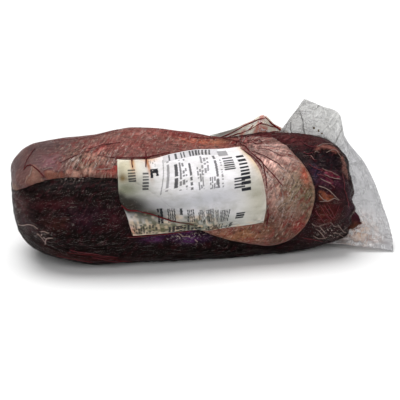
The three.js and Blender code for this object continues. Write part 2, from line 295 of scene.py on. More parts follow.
def plain_point(along, round_):
    x = x_along(along)
    full = fullness(x, round_)
    rise = (station_value(x, 1) + FLOOR_SINK) / 2
    angle = np.radians(round_)
    y = -station_value(x, 2) * signed_power(np.cos(angle), 2 / SECTION_POWER)
    z = rise - FLOOR_SINK + rise * signed_power(np.sin(angle), 2 / SECTION_POWER)
    middle = mix(CLOSED_MIDDLE, OPEN_MIDDLE, 0.5 + 0.5 * np.tanh(x / END_BLEND))
    return np.stack([x, y * full, middle + (z - middle) * full], axis=-1)


def outward(along, round_):
    step = 0.0005
    lengthwise = plain_point(np.minimum(along + step, TOTAL), round_) - plain_point(
        np.maximum(along - step, 0), round_
    )
    roundwise = plain_point(along, round_ + 0.5) - plain_point(along, round_ - 0.5)
    normal = np.cross(lengthwise, roundwise)
    return normal / (np.linalg.norm(normal, axis=-1, keepdims=True) + 1e-15)


def bag_point(along, round_, height, floor=0.0):
    """A point at a height over the plain surface, never below the floor."""
    points = plain_point(along, round_) + outward(along, round_) * np.asarray(height)[..., None]
    points[..., 2] = np.maximum(points[..., 2], floor)
    return points


# ---- Relief: the blade's step, the folds and the pleats ------------------------------------------


def spline(points, t):
    """A Catmull-Rom curve through flat points, t from 0 to 1."""
    p = np.array(points, float)
    last = len(p) - 1
    place = last * np.asarray(t)
    i = np.minimum(np.floor(place).astype(int), last)
    w = (place - i)[..., None]
    before, a = p[np.maximum(i - 1, 0)], p[i]
    b, after = p[np.minimum(i + 1, last)], p[np.minimum(i + 2, last)]
    leave, arrive = (b - before) / 2, (after - a) / 2
    return (
        (2 * a - 2 * b + leave + arrive) * w**3
        + (3 * b - 3 * a - 2 * leave - arrive) * w**2
        + leave * w
        + a
    )


BLADE_LINE = spline([*BLADE_EDGE, BLADE_EDGE[0]], np.linspace(0, 1, 121))
LABEL_LINE = np.concatenate(
    [
        spline(LABEL_BOTTOM, np.linspace(0, 1, 17))[:-1],
        spline(LABEL_RIGHT, np.linspace(0, 1, 17))[:-1],
        spline(LABEL_TOP, np.linspace(1, 0, 25))[:-1],
        spline(LABEL_LEFT, np.linspace(1, 0, 17)),
    ]
)


def segment_distance(px, py, ax, ay, bx, by):
    dx, dy = bx - ax, by - ay
    t = np.clip(((px - ax) * dx + (py - ay) * dy) / (dx * dx + dy * dy), 0, 1)
    return np.hypot(px - ax - t * dx, py - ay - t * dy)


def round_scale(along):
    """Metres a degree round the bag, less near the tips."""
    return DEGREE * np.maximum(fullness(x_along(along), 0.0), 0.3)


def inside_outline(along, round_, outline):
    """How far inside a closed line of (along, round) a place is, below 0 outside it."""
    scale = round_scale(along)
    nearest = np.full(np.shape(along), np.inf)
    inside = np.zeros(np.shape(along), bool)
    for (ax, ay), (bx, by) in zip(outline, np.roll(outline, -1, axis=0)):
        if (ax, ay) == (bx, by):
            continue
        distance = segment_distance(along, round_ * scale, ax, ay * scale, bx, by * scale)
        nearest = np.minimum(nearest, distance)
        if ay != by:
            crossing = ax + (round_ - ay) / (by - ay) * (bx - ax)
            inside ^= ((ay > round_) != (by > round_)) & (along < crossing)
    return np.where(inside, nearest, -nearest)


def fold_relief(along, round_):
    scale = round_scale(along)
    height = 0.0
    for (a_along, a_round), (b_along, b_round), width, depth in FOLDS:
        distance = segment_distance(
            along, round_ * scale, a_along, a_round * scale, b_along, b_round * scale
        )
        height = height + depth * bell(distance, width)
    return height


def lumps(along, round_):
    angle = np.radians(round_)
    mm = along * 1000
    waves = np.sin(mm / 19 + 2 * np.cos(angle) + 0.6) * np.cos(3 * angle + mm / 60)
    waves += 0.7 * np.sin(mm / 11.5 - 2 * np.sin(2 * angle) + 2.1) * np.sin(5 * angle + 0.8)
    return LUMP_HEIGHT / 1.7 * waves


def end_pleats(along, round_):
    near = smooth(along, TOTAL - 0.075, TOTAL - 0.020)
    angle = np.radians(round_)
    return END_PLEAT_DEPTH * near * np.sin(END_PLEATS * angle + 1.6 * np.sin(3 * angle))


def under_label(along, round_):
    """1 well inside the label, 0 outside it."""
    left, right = LABEL_LEFT[2][0], LABEL_RIGHT[1][0]
    low, high = LABEL_BOTTOM[0][1], LABEL_TOP[-1][1]
    lengthwise = smooth(along, left - 0.008, left + 0.008)
    lengthwise = lengthwise * (1 - smooth(along, right - 0.008, right + 0.008))
    upright = smooth(round_, low - 8, low + 6) * (1 - smooth(round_, high - 10, high + 4))
    return lengthwise * upright


# ---- Film: where it is pulled into folds ---------------------------------------------------------

FAN_FROM = LABEL_TOP[-1]  # folds of the film fan out from this corner of the label

# Where folds run round the bag, and where the film glints: (strength, place, reach).
CROSS_PULLS = [
    (1.0, (0.120, 64), (0.030, 18)),
    (0.9, (0.303, 20), (0.018, 22)),
    (0.6, (0.190, 82), (0.060, 14)),
]
GLINTS = [
    (0.9, (0.068, -18), (0.009, 8)),
    (0.9, (0.360, -22), (0.014, 10)),
    (0.7, (0.100, 43), (0.012, 3)),
    (0.8, (0.205, -15), (0.020, 4)),
    (0.6, (0.310, 22), (0.018, 20)),
]


def over_label(places):
    """1 over the paper, falling to 0 a few millimetres past its edge."""
    inside = inside_outline(places.along, places.round, LABEL_LINE)
    return smooth(inside, -0.0040, -0.0005)


def pull_zones(places):
    """Where the film's folds fan out, where they run round the bag, and where it glints."""
    reach = np.hypot(places.along - FAN_FROM[0], (places.round - FAN_FROM[1]) * DEGREE)
    fan = smooth(reach, 0.004, 0.012) * (1 - smooth(reach, 0.046, 0.078))
    fan = fan * (places.inside_blade > 0.002) * (1 - 0.9 * places.paper_edge)
    fan = fan * smooth(places.along, FAN_FROM[0] - 0.004, FAN_FROM[0] + 0.006)
    by_tips = smooth(np.abs(places.along - TOTAL / 2), TOTAL / 2 - 0.060, TOTAL / 2 - 0.015)
    cross = np.maximum(places.strongest(CROSS_PULLS), 0.5 * by_tips)
    return fan, cross, places.strongest(GLINTS) * (1 - places.paper_edge)


def pulled_folds(places):
    """Fine folds of the shrunk film, which the wet meat under it follows, 0 and up."""
    fan_zone, cross_zone, _ = places.zones
    long_folds = creases(places.flat * (14, 150, 150) + 3.1, 21, 4.0)
    leant = places.flat.copy()
    leant[:, 0] -= 0.5 * places.round * DEGREE
    cross_folds = creases(leant * (165, 30, 30) + 7.7, 22, 3.0)
    dx, dy = places.along - FAN_FROM[0], (places.round - FAN_FROM[1]) * DEGREE
    bearing = np.arctan2(dy, dx) * 9 + noise(places.flat * 40, 5)
    fan = creases(pattern(bearing, np.hypot(dx, dy) * 16), 23, 2.6) * fan_zone
    slow = noise(places.flat * 26, 9)
    height = LONG_FOLD * long_folds * smooth(slow, -0.1, 0.6) + FAN_FOLD * fan
    height = height + CROSS_FOLD * cross_folds * cross_zone
    return height * (1 - 0.9 * places.paper_edge) * places.away_from_tip


class Places:
    """Vertices as places on the bag, with what every height needs worked out once."""

    def __init__(self, along, round_):
        self.along, self.round = along, round_
        self.inside_blade = inside_outline(along, round_, BLADE_LINE)
        self.groove = GROOVE_DEPTH * mix(GROOVE_AT_TIP, 1, smooth(along, 0.01, GROOVE_FULL_FROM))
        self.paper = under_label(along, round_)
        self.full = fullness(x_along(along), 0.0)
        self.away_from_tip = smooth(self.full, 0.15, 0.75)
        small = fold_relief(along, round_) + lumps(along, round_) + end_pleats(along, round_)
        self.small = small * (1 - 0.7 * self.paper)
        angle = np.radians(round_)
        radius = np.maximum(self.full, 0.05) * ROUND_RADIUS
        self.flat = np.stack([along, -radius * np.cos(angle), radius * np.sin(angle)], axis=-1)
        self.paper_edge = over_label(self)
        self.zones = pull_zones(self)
        self.folds = pulled_folds(self)

    def near(self, place, reach):
        return spot(self.along, self.round, place, reach)

    def strongest(self, areas):
        """The strongest of some areas (strength, place, reach) at each place."""
        return np.maximum.reduce(
            [strength * self.near(place, reach) for strength, place, reach in areas]
        )

    def relief(self, step):
        height = step * mix(1, LABEL_STIFFNESS, self.paper) + self.small
        tip = np.where(self.along < TOTAL / 2, CLOSED_TIP, OPEN_TIP)
        return mix(tip, height, self.away_from_tip)

    def bag_relief(self):
        """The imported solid's own surface."""
        over = 1 - np.clip(self.inside_blade / BLADE_ROUNDING, 0, 1)
        top = -self.groove + (BLADE_TOP + self.groove) * (1 - over * over)
        return self.relief(np.where(self.inside_blade < 0, self.groove_outside(), top))

    def groove_outside(self):
        return -self.groove * bell(self.inside_blade, GROOVE_WIDTH)

    def dark_relief(self):
        """The groove outside the pale blade's edge, and the dark blade's bed under the pale one."""
        bed = -self.groove - BED_DEPTH * smooth(self.inside_blade, 0, 0.006)
        return self.relief(np.where(self.inside_blade < 0, self.groove_outside(), bed))

    def pale_relief(self):
        """A full rounded rim that dives into the groove."""
        over = 1 - np.clip((self.inside_blade + RIM_START) / (BLADE_ROUNDING * 0.8), 0, 1)
        bulge = np.sqrt(np.clip(1 - over * over, 0, 1))
        rim = -self.groove + (BLADE_TOP + self.groove) * bulge
        dive = -self.groove - RIM_DIVE * smooth(-self.inside_blade, RIM_START, 0.007)
        return self.relief(np.where(self.inside_blade < -RIM_START, dive, rim))


# ---- Meat: colours and patches -------------------------------------------------------------------


def srgb(red, green, blue):
    """A linear colour from how it looks, 0 to 255."""
    looks = np.array([red, green, blue]) / 255
    return tuple(np.where(looks > 0.04, ((looks + 0.055) / 1.055) ** 2.4, looks / 12.92))


# Soft areas of another colour: (place, reach, colour as it looks), laid one over the other.
PALE_BASE = srgb(112, 76, 70)
PALE_AREAS = [
    ((0.028, 80), (0.034, 90), (86, 67, 68)),
    ((0.080, 82), (0.034, 40), (82, 62, 62)),
    ((0.082, 62), (0.012, 12), (115, 74, 82)),
    ((0.118, 60), (0.026, 18), (106, 78, 66)),
    ((0.134, 74), (0.020, 9), (104, 50, 50)),
    ((0.160, 70), (0.030, 10), (116, 62, 57)),
    ((0.200, 90), (0.060, 22), (132, 81, 74)),
    ((0.225, 92), (0.040, 5), (119, 50, 50)),
    ((0.236, 82), (0.026, 6), (162, 84, 62)),
    ((0.256, 87), (0.016, 7), (182, 121, 89)),
    ((0.285, 84), (0.018, 10), (118, 66, 62)),
    ((0.268, 84), (0.022, 9), (98, 46, 44)),
    ((0.272, 96), (0.032, 6), (88, 42, 44)),
    ((0.300, 46), (0.026, 30), (178, 140, 132)),
    ((0.314, 18), (0.018, 26), (126, 108, 88)),
    ((0.330, 14), (0.010, 22), (86, 76, 56)),
    ((0.329, 36), (0.005, 10), (156, 77, 58)),
    ((0.300, -8), (0.034, 12), (88, 58, 48)),
    ((0.306, -22), (0.020, 8), (72, 50, 40)),
    ((0.262, -14), (0.024, 8), (124, 84, 60)),
    ((0.322, -10), (0.008, 8), (112, 46, 41)),
]
DARK_BASE = srgb(13, 8, 7)
DARK_AREAS = [
    ((0.036, 8), (0.014, 14), (72, 48, 48)),
    ((0.048, -16), (0.018, 16), (50, 38, 40)),
    ((0.080, 16), (0.022, 5), (44, 16, 18)),
    ((0.080, -2), (0.012, 6), (40, 17, 15)),
    ((0.110, 5), (0.022, 8), (38, 18, 26)),
    ((0.137, 2), (0.010, 7), (44, 18, 22)),
    ((0.100, -42), (0.030, 5), (44, 18, 16)),
    ((0.145, -46), (0.030, 6), (40, 16, 16)),
    ((0.178, -17), (0.012, 4), (62, 30, 62)),
    ((0.200, -10), (0.014, 3), (80, 42, 84)),
    ((0.214, -19), (0.014, 4), (62, 32, 70)),
    ((0.350, 10), (0.040, 60), (38, 20, 24)),
    ((0.330, 90), (0.030, 12), (78, 34, 36)),
    ((0.290, 104), (0.040, 9), (80, 34, 36)),
    ((0.352, 0), (0.014, 11), (66, 26, 20)),
    ((0.341, 38), (0.004, 10), (44, 38, 62)),
    ((0.356, 33), (0.014, 8), (58, 24, 40)),
    ((0.383, 15), (0.006, 20), (42, 20, 34)),
    ((0.355, -28), (0.024, 9), (36, 28, 27)),
    ((0.160, 200), (0.120, 60), (44, 22, 22)),
]

# Fat and torn ends with an edge of their own, and a hollow with painted shade: (outline, rise, soft
# edge, colour as it looks).
PALE_PATCHES = [
    ([(0.0532, 42), (0.0618, 54), (0.0636, 60), (0.0685, 53), (0.0709, 47), (0.0697, 41)],
     0.0008, 0.0014, (130, 94, 82)),
    ([(0.0721, 51), (0.0812, 51), (0.0934, 49), (0.0952, 46), (0.0867, 45), (0.0721, 46)],
     0.0002, 0.0022, (130, 82, 68)),
    ([(0.0106, 49), (0.0380, 43), (0.0429, 34), (0.0362, 20), (0.0271, 4), (0.0167, -23),
      (0.0110, 5)], 0.0, 0.0060, (118, 88, 74)),
    ([(0.0952, 49), (0.1080, 48.5), (0.1202, 49), (0.1232, 46), (0.1099, 45), (0.0995, 45)],
     0.0002, 0.0022, (176, 132, 116)),
    ([(0.1300, 47), (0.1366, 46), (0.1440, 49), (0.1440, 42), (0.1330, 42)],
     0.0, 0.0024, (140, 56, 50)),
]
DARK_PATCHES = [
    ([(0.3491, 76), (0.3558, 81), (0.3643, 79), (0.3734, 79), (0.3745, 71), (0.3692, 69),
      (0.3619, 72), (0.3534, 70), (0.3460, 67), (0.3442, 70)], 0.0010, 0.0030, (118, 74, 66)),
    ([(0.3759, 71), (0.3789, 71), (0.3830, 60), (0.3835, 47), (0.3832, 40), (0.3789, 43),
      (0.3759, 48), (0.3747, 58), (0.3740, 66)], 0.0008, 0.0026, (120, 84, 76)),
    # A hollow at the open end, sunk and painted near black: painted shade.
    ([(0.3448, 65), (0.3540, 67), (0.3637, 68), (0.3710, 65), (0.3722, 55), (0.3710, 47),
      (0.3582, 43), (0.3497, 45), (0.3442, 50), (0.3430, 60)], -0.0014, 0.0030, (24, 17, 21)),
    ([(0.3479, 43.5), (0.3534, 41.5), (0.3582, 39), (0.3655, 37), (0.3643, 35), (0.3570, 35.5),
      (0.3509, 38.5)], 0.0010, 0.0016, (112, 44, 60)),
    ([(0.3467, 36), (0.3527, 34), (0.3576, 29), (0.3588, 25), (0.3564, 24), (0.3515, 28),
      (0.3473, 33)], 0.0008, 0.0010, (92, 32, 52)),
    ([(0.3430, 20), (0.3454, 21), (0.3509, 17), (0.3580, 15), (0.3570, 12), (0.3497, 10),
      (0.3436, 11)], 0.0008, 0.0018, (112, 62, 44)),
    ([(0.0764, 1), (0.0843, 3), (0.0920, 2), (0.0860, -5), (0.0790, -5)],
     0.0006, 0.0050, (44, 22, 18)),
]


def lay_patches(places, patches):
    """How much of each patch covers each place."""
    covers = []
    for seed, (outline, _, soft, _) in enumerate(patches, start=50):
        ragged = RAGGED_EDGE * noise(places.flat * 210, seed)
        distance = inside_outline(places.along, places.round, np.array(outline)) + ragged
        covers.append(smooth(distance, -soft / 2, soft / 2))
    return covers


def patch_height(covers, patches):
    return sum(rise * cover for cover, (_, rise, _, _) in zip(covers, patches))


def paint(places, base, areas, covers=(), patches=()):
    """The colour of each place: the soft areas, the patches, and painted light and shade on the
    film's folds.
    """
    colour = np.tile(base, (len(places.along), 1))
    ragged = 1 + 0.5 * noise(places.flat * 90, 61)
    for place, reach, area_colour in areas:
        cover = np.clip(places.near(place, reach) * ragged, 0, 1)
        colour = lay_over(colour, srgb(*area_colour), cover)
    for cover, (_, _, _, patch_colour) in zip(covers, patches):
        colour = lay_over(colour, srgb(*patch_colour), 0.9 * cover)
    # Painted highlight on the ridges of the film's folds, painted shade between them.
    light = 0.80 + 0.9 * np.clip(places.folds / FULL_FOLD, 0, 1)
    pulled = np.maximum(places.zones[0], places.zones[1])
    return colour * mix(1, light, pulled)[:, None]


def grain(places, marks):
    """How each place's meat is marked: its contrast, how far its fibres lean, how much is red."""
    values = np.zeros((len(places.along), 3))
    for place, reach, mark in marks:
        cover = np.clip(1.25 * places.near(place, reach), 0, 1)
        values = lay_over(values, mark, cover)
    return values


# The grain of each muscle: (place, reach, (contrast, lean, share of red)).
PALE_GRAIN = [
    ((0.200, 90), (0.300, 400), (0.75, 0.2, 0.5)),
    ((0.040, 80), (0.060, 120), (0.30, 0.3, 0.1)),
    ((0.120, 66), (0.030, 22), (1.15, 1.0, 0.7)),
    ((0.250, 84), (0.050, 12), (0.95, 0.1, 0.7)),
    ((0.300, 40), (0.030, 40), (0.95, 0.9, 0.5)),
    ((0.290, -14), (0.040, 12), (0.80, 0.3, 0.5)),
]
DARK_GRAIN = [
    ((0.200, 0), (0.400, 400), (1.0, 0.35, 0.3)),
    ((0.350, 20), (0.030, 60), (1.2, 0.6, 0.5)),
    ((0.310, 98), (0.060, 14), (1.0, 0.0, 0.7)),
]


def muscle_ripple(places, seed):
    """Lengthwise bundles and dimples of the meat under the film."""
    bundles = noise(places.flat * (22, 60, 60), seed)
    dimples = noise(places.flat * (90, 110, 110), seed + 1)
    ripple = MUSCLE_RIPPLE * bundles + MUSCLE_RIPPLE * dimples
    return ripple * (1 - 0.8 * places.paper) * places.away_from_tip


def dark_height(places, covers=None):
    covers = covers or lay_patches(places, DARK_PATCHES)
    rough = DARK_ROUGHNESS * np.abs(noise(places.flat * 150, 11)) * (places.inside_blade < 0)
    height = places.dark_relief() + muscle_ripple(places, 3) + FOLLOWS_FILM * places.folds
    return height + patch_height(covers, DARK_PATCHES) + rough * (1 - places.paper)


def pale_height(places, covers=None):
    covers = covers or lay_patches(places, PALE_PATCHES)
    height = places.pale_relief() + muscle_ripple(places, 7) + FOLLOWS_FILM * places.folds
    height = height + SHOULDER_RISE * places.near(SHOULDER_PLACE, SHOULDER_REACH)
    return height + patch_height(covers, PALE_PATCHES)


def film_height(places):
    meat = np.maximum(dark_height(places), pale_height(places)) + FILM_GAP
    crumple = FILM_CRUMPLE * np.abs(noise(places.flat * 230, 25)) * (1 - places.paper_edge)
    crumple = (crumple + 0.3 * places.folds) * places.away_from_tip
    paper = (LABEL_LIFT + LABEL_THICKNESS + PAPER_GAP) * places.paper_edge
    return np.maximum(places.bag_relief(), meat) + crumple + paper


# ---- Meshes --------------------------------------------------------------------------------------


def new_piece(name, bm, material):
    for face in bm.faces:
        face.smooth = True
    mesh = bpy.data.meshes.new(name)
    bm.to_mesh(mesh)
    bm.free()
    mesh.materials.append(material)
    piece = bpy.data.objects.new(name, mesh)
    bpy.context.scene.collection.objects.link(piece)
    return piece


def vertex_array(mesh):
    flat = np.empty(len(mesh.vertices) * 3)
    mesh.vertices.foreach_get("co", flat)
    return flat.reshape(-1, 3)


def set_vertices(mesh, points):
    mesh.vertices.foreach_set("co", points.ravel())
    mesh.update()


def lay_map(mesh, u, v):
    """The piece's own map from one pair of values a vertex."""
    corners = np.empty(len(mesh.loops), int)
    mesh.loops.foreach_get("vertex_index", corners)
    layer = mesh.uv_layers.new(name="Own")
    layer.data.foreach_set("uv", np.stack([u[corners], v[corners]], axis=-1).ravel())


def lay_bag_map(mesh, along, round_):
    """A map in metres along and round the bag, with its seam underneath."""
    lay_map(mesh, along, np.radians(round_) * ROUND_RADIUS)
    totals = np.empty(len(mesh.polygons), int)
    mesh.polygons.foreach_get("loop_total", totals)
    owner = np.repeat(np.arange(len(totals)), totals)
    flat = np.empty(len(mesh.loops) * 2)
    layer = mesh.uv_layers["Own"]
    layer.data.foreach_get("uv", flat)
    v = flat[1::2]
    lowest = np.full(len(totals), np.inf)
    np.minimum.at(lowest, owner, v)
    whole_turn = math.tau * ROUND_RADIUS
    crosses_seam = (lowest[owner] < -whole_turn / 6) & (v > whole_turn / 1.5)
    flat[1::2] = np.where(crosses_seam, v - whole_turn, v)
    layer.data.foreach_set("uv", flat)


def set_colours(mesh, name, colours):
    attribute = mesh.attributes.new(name, "FLOAT_COLOR", "POINT")
    whole = np.concatenate([colours, np.ones((len(colours), 1))], axis=-1)
    attribute.data.foreach_set("color", whole.ravel())


def ball_places(mesh):
    """The place on the bag of each vertex of a unit ball with its poles on Z."""
    x, y, z = vertex_array(mesh).T
    x, y, z = (x, y, z) / np.sqrt(x * x + y * y + z * z)
    along = np.arccos(np.clip(-z, -1, 1)) / math.pi * TOTAL
    round_ = np.degrees(np.arctan2(y, -x))
    round_ = np.where(round_ < -89.999, round_ + 360, round_)
    pole = np.hypot(x, y) < 1e-5
    return np.clip(along, 0.00001, TOTAL - 0.00001), np.where(pole, 0.0, round_)


def new_ball(rings, segments):
    bm = bmesh.new()
    bmesh.ops.create_uvsphere(bm, u_segments=segments // 4, v_segments=rings // 4, radius=1)
    cuts = 3
    bmesh.ops.subdivide_edges(bm, edges=bm.edges[:], cuts=cuts, use_grid_fill=True)
    return bm


def place_over_bag(piece):
    places = Places(*ball_places(piece.data))
    lay_bag_map(piece.data, places.along, places.round)
    return places


# ---- Materials -----------------------------------------------------------------------------------

FILM_IOR = 1.4

SOCKETS = {
    "value": "NodeSocketFloat",
    "vector": "NodeSocketVector",
    "colour": "NodeSocketColor",
}


class Shader:
    """Builds one material's or group's nodes."""

    def __init__(self, tree):
        self.tree = tree

    def put(self, socket, value):
        if isinstance(value, bpy.types.NodeSocket):
            self.tree.links.new(value, socket)
        elif socket.type == "RGBA" and len(value) == 3:
            socket.default_value = (*value, 1)
        else:
            socket.default_value = value

    def node(self, kind, inputs=None, **settings):
        made = self.tree.nodes.new(kind)
        for name, value in settings.items():
            setattr(made, name, value)
        for name, value in (inputs or {}).items():
            self.put(made.inputs[name], value)
        return made

    def math(self, operation, *values, clamp=False):
        made = self.node("ShaderNodeMath", dict(enumerate(values)), operation=operation)
        made.use_clamp = clamp
        return made.outputs[0]

    def product(self, a, b):
        return self.math("MULTIPLY", a, b)

    def total(self, a, b, clamp=False):
        return self.math("ADD", a, b, clamp=clamp)

    def swing(self, value, strength):
        """How far a noise is from its middle, times a strength."""
        return self.product(self.math("SUBTRACT", value, 0.5), strength)

    def vector_math(self, operation, *values):
        made = self.node("ShaderNodeVectorMath", dict(enumerate(values)), operation=operation)
        return made.outputs["Value" if operation == "LENGTH" else "Vector"]

    def between(self, value, low, high):
        """0 below low, 1 above high."""
        return self.node("ShaderNodeMapRange", {"Value": value, 1: low, 2: high}).outputs[0]

    def blend(self, fac, a, b, mode="MIX"):
        made = self.node("ShaderNodeMix", data_type="RGBA", blend_type=mode)
        for place, value in ((0, fac), (6, a), (7, b)):
            self.put(made.inputs[place], value)
        return made.outputs[2]

    def noise(self, vector, scale, detail=3.0):
        inputs = {"Vector": vector, "Scale": scale, "Detail": detail, "Roughness": 0.6}
        return self.node("ShaderNodeTexNoise", inputs).outputs["Fac"]

    def stretched_noise(self, vector, stretch, detail):
        return self.noise(self.vector_math("MULTIPLY", vector, stretch), 1.0, detail)

    def axes(self, vector):
        return self.node("ShaderNodeSeparateXYZ", {0: vector}).outputs

    def flat_vector(self, x, y):
        return self.node("ShaderNodeCombineXYZ", {0: x, 1: y}).outputs[0]

    def swap(self, vector):
        axis = self.axes(vector)
        return self.flat_vector(axis[1], axis[0])

    def own_map(self):
        return self.node("ShaderNodeUVMap", uv_map="Own").outputs[0]

    def attribute(self, name):
        return self.node("ShaderNodeAttribute", attribute_name=name).outputs["Color"]

    def channels(self, name):
        """The three values that an attribute holds."""
        return self.node("ShaderNodeSeparateColor", {0: self.attribute(name)}).outputs

    def bump(self, height, distance, strength=0.6):
        inputs = {"Height": height, "Strength": strength, "Distance": distance}
        return self.node("ShaderNodeBump", inputs).outputs[0]

    def group(self, group, **inputs):
        made = self.node("ShaderNodeGroup", node_tree=group)
        for name, value in inputs.items():
            self.put(made.inputs[name], value)
        return made.outputs

    def layer(self, cover, under, over):
        """One shader laid over another."""
        inputs = {0: cover, 1: under.outputs[0], 2: over.outputs[0]}
        return self.node("ShaderNodeMixShader", inputs)

    def surface(self, shader):
        self.node("ShaderNodeOutputMaterial", {"Surface": shader.outputs[0]})

    def plain_surface(self, colour, **inputs):
        """A Principled surface; the inputs are named with underscores for spaces."""
        named = {name.replace("_", " "): value for name, value in inputs.items()}
        self.surface(self.node("ShaderNodeBsdfPrincipled", {"Base Color": colour, **named}))

    def film_surface(self, milk, milkiness, milk_roughness, normal, tint, mirror, polish):
        """Clear tinted film, milky by its milkiness, with a mirror-like face over both."""
        clear = self.node("ShaderNodeBsdfTransparent", {"Color": (tint, tint, tint)})
        inputs = {"Base Color": milk, "Roughness": milk_roughness, "Normal": normal}
        cloudy = self.node("ShaderNodeBsdfPrincipled", inputs)
        facing = self.node("ShaderNodeFresnel", {"IOR": FILM_IOR, "Normal": normal}).outputs[0]
        shine = self.node("ShaderNodeBsdfGlossy", {"Roughness": polish, "Normal": normal})
        body = self.layer(milkiness, clear, cloudy)
        self.surface(self.layer(self.product(facing, mirror), body, shine))


def new_material(name):
    material = bpy.data.materials.new(name)
    material.use_nodes = True
    material.node_tree.nodes.clear()
    return material, Shader(material.node_tree)


def new_group(name, inputs, outputs):
    """An empty group with inputs (name, kind, default) and outputs (name, kind)."""
    group = bpy.data.node_groups.new(name, "ShaderNodeTree")
    for label, kind, default in inputs:
        group.interface.new_socket(
            label, in_out="INPUT", socket_type=SOCKETS[kind]
        ).default_value = default
    for label, kind in outputs:
        group.interface.new_socket(label, in_out="OUTPUT", socket_type=SOCKETS[kind])
    shader = Shader(group)
    given = shader.node("NodeGroupInput").outputs
    return group, shader, given, shader.node("NodeGroupOutput").inputs


def crease_lines_group():
    """Thin wandering lines where a stretched noise crosses its middle: 1 on a line, 0 off it."""
    group, s, given, out = new_group(
        "crease lines",
        [
            ("Map", "vector", (0, 0, 0)),
            ("Stretch", "vector", (20, 120, 1)),
            ("Width", "value", 0.03),
            ("Broken", "value", 0.45),
        ],
        [("Line", "value")],
    )
    stretched = s.vector_math("MULTIPLY", given["Map"], given["Stretch"])
    wander = s.noise(stretched, 1.0, 2.0)
    away = s.math("ABSOLUTE", s.math("SUBTRACT", wander, 0.5))
    line = s.math("SUBTRACT", 1.0, s.math("DIVIDE", away, given["Width"]), clamp=True)
    kept = s.noise(s.vector_math("ADD", stretched, (31.0, 17.0, 5.0)), 0.8, 1.0)
    kept = s.between(kept, given["Broken"], s.total(given["Broken"], 0.08))
    s.put(out["Line"], s.product(line, kept))
    return group


def meat_group():
    """Fibres, mottling and flecks of red and fat laid over a base colour."""
    group, s, given, out = new_group(
        "meat",
        [
            ("Map", "vector", (0, 0, 0)),
            ("Base", "colour", (0.3, 0.1, 0.1, 1)),
            ("Red", "colour", (0.1, 0.01, 0.01, 1)),
            ("Fat", "colour", (0.5, 0.4, 0.3, 1)),
            ("Contrast", "value", 1.0),
            ("Leaning", "value", 0.0),
            ("Red share", "value", 0.5),
            ("Fat share", "value", 0.5),
        ],
        [("Colour", "colour"), ("Height", "value")],
    )
    place = given["Map"]
    axis = s.axes(place)
    leant = s.flat_vector(s.math("SUBTRACT", axis[0], s.product(axis[1], 0.5)), axis[1])
    lengthwise = s.stretched_noise(place, (120.0, 380.0, 1.0), 3.0)
    leaning = s.stretched_noise(leant, (420.0, 90.0, 1.0), 3.0)
    share = s.between(given["Leaning"], 0.0, 1.0)
    fibre = s.total(lengthwise, s.product(share, s.math("SUBTRACT", leaning, lengthwise)))
    mottle = s.noise(place, 230.0, 3.0)
    grit = s.noise(s.vector_math("ADD", place, (5.0, 7.0, 0.0)), 520.0, 1.0)
    tone = s.total(s.total(s.swing(fibre, 4.2), s.swing(mottle, 2.4)), s.swing(grit, 0.8))
    tone = s.total(1.0, s.product(tone, given["Contrast"]))
    tone = s.math("MAXIMUM", tone, 0.05)
    shade = s.node("ShaderNodeCombineColor", {0: tone, 1: tone, 2: tone}).outputs[0]
    colour = s.blend(1.0, given["Base"], shade, "MULTIPLY")
    blots = s.between(s.stretched_noise(leant, (170.0, 110.0, 1.0), 3.0), 0.52, 0.60)
    colour = s.blend(s.product(blots, given["Red share"]), colour, given["Red"])
    flecks = s.between(s.stretched_noise(leant, (560.0, 190.0, 1.0), 2.0), 0.58, 0.68)
    colour = s.blend(s.product(flecks, given["Fat share"]), colour, given["Fat"])
    s.put(out["Colour"], colour)
    s.put(out["Height"], s.total(fibre, mottle))
    return group


CREASE_LINES = crease_lines_group()
MEAT = meat_group()


def raw_meat(name, red, fat, fat_share, wet):
    """Wet raw meat in the piece's own Tone, marked as its own Grain says."""
    material, s = new_material(name)
    contrast, leaning, red_share = s.channels("Grain")
    meat = s.group(MEAT, **{
        "Map": s.own_map(), "Base": s.attribute("Tone"), "Red": red, "Fat": fat,
        "Contrast": contrast, "Leaning": leaning, "Red share": red_share,
        "Fat share": s.product(contrast, fat_share)})
    normal = s.bump(meat["Height"], 0.0010)
    s.plain_surface(meat["Colour"], Roughness=0.45, Specular_IOR_Level=wet, Normal=normal)
    return material


def dark_meat():
    red, fat = srgb(58, 14, 22), srgb(120, 92, 98)
    return raw_meat("dark wet beef", red, fat, fat_share=0.16, wet=0.02)


def pale_meat():
    red, fat = srgb(112, 36, 34), srgb(200, 176, 156)
    return raw_meat("pale silverskin beef", red, fat, fat_share=0.45, wet=0.06)


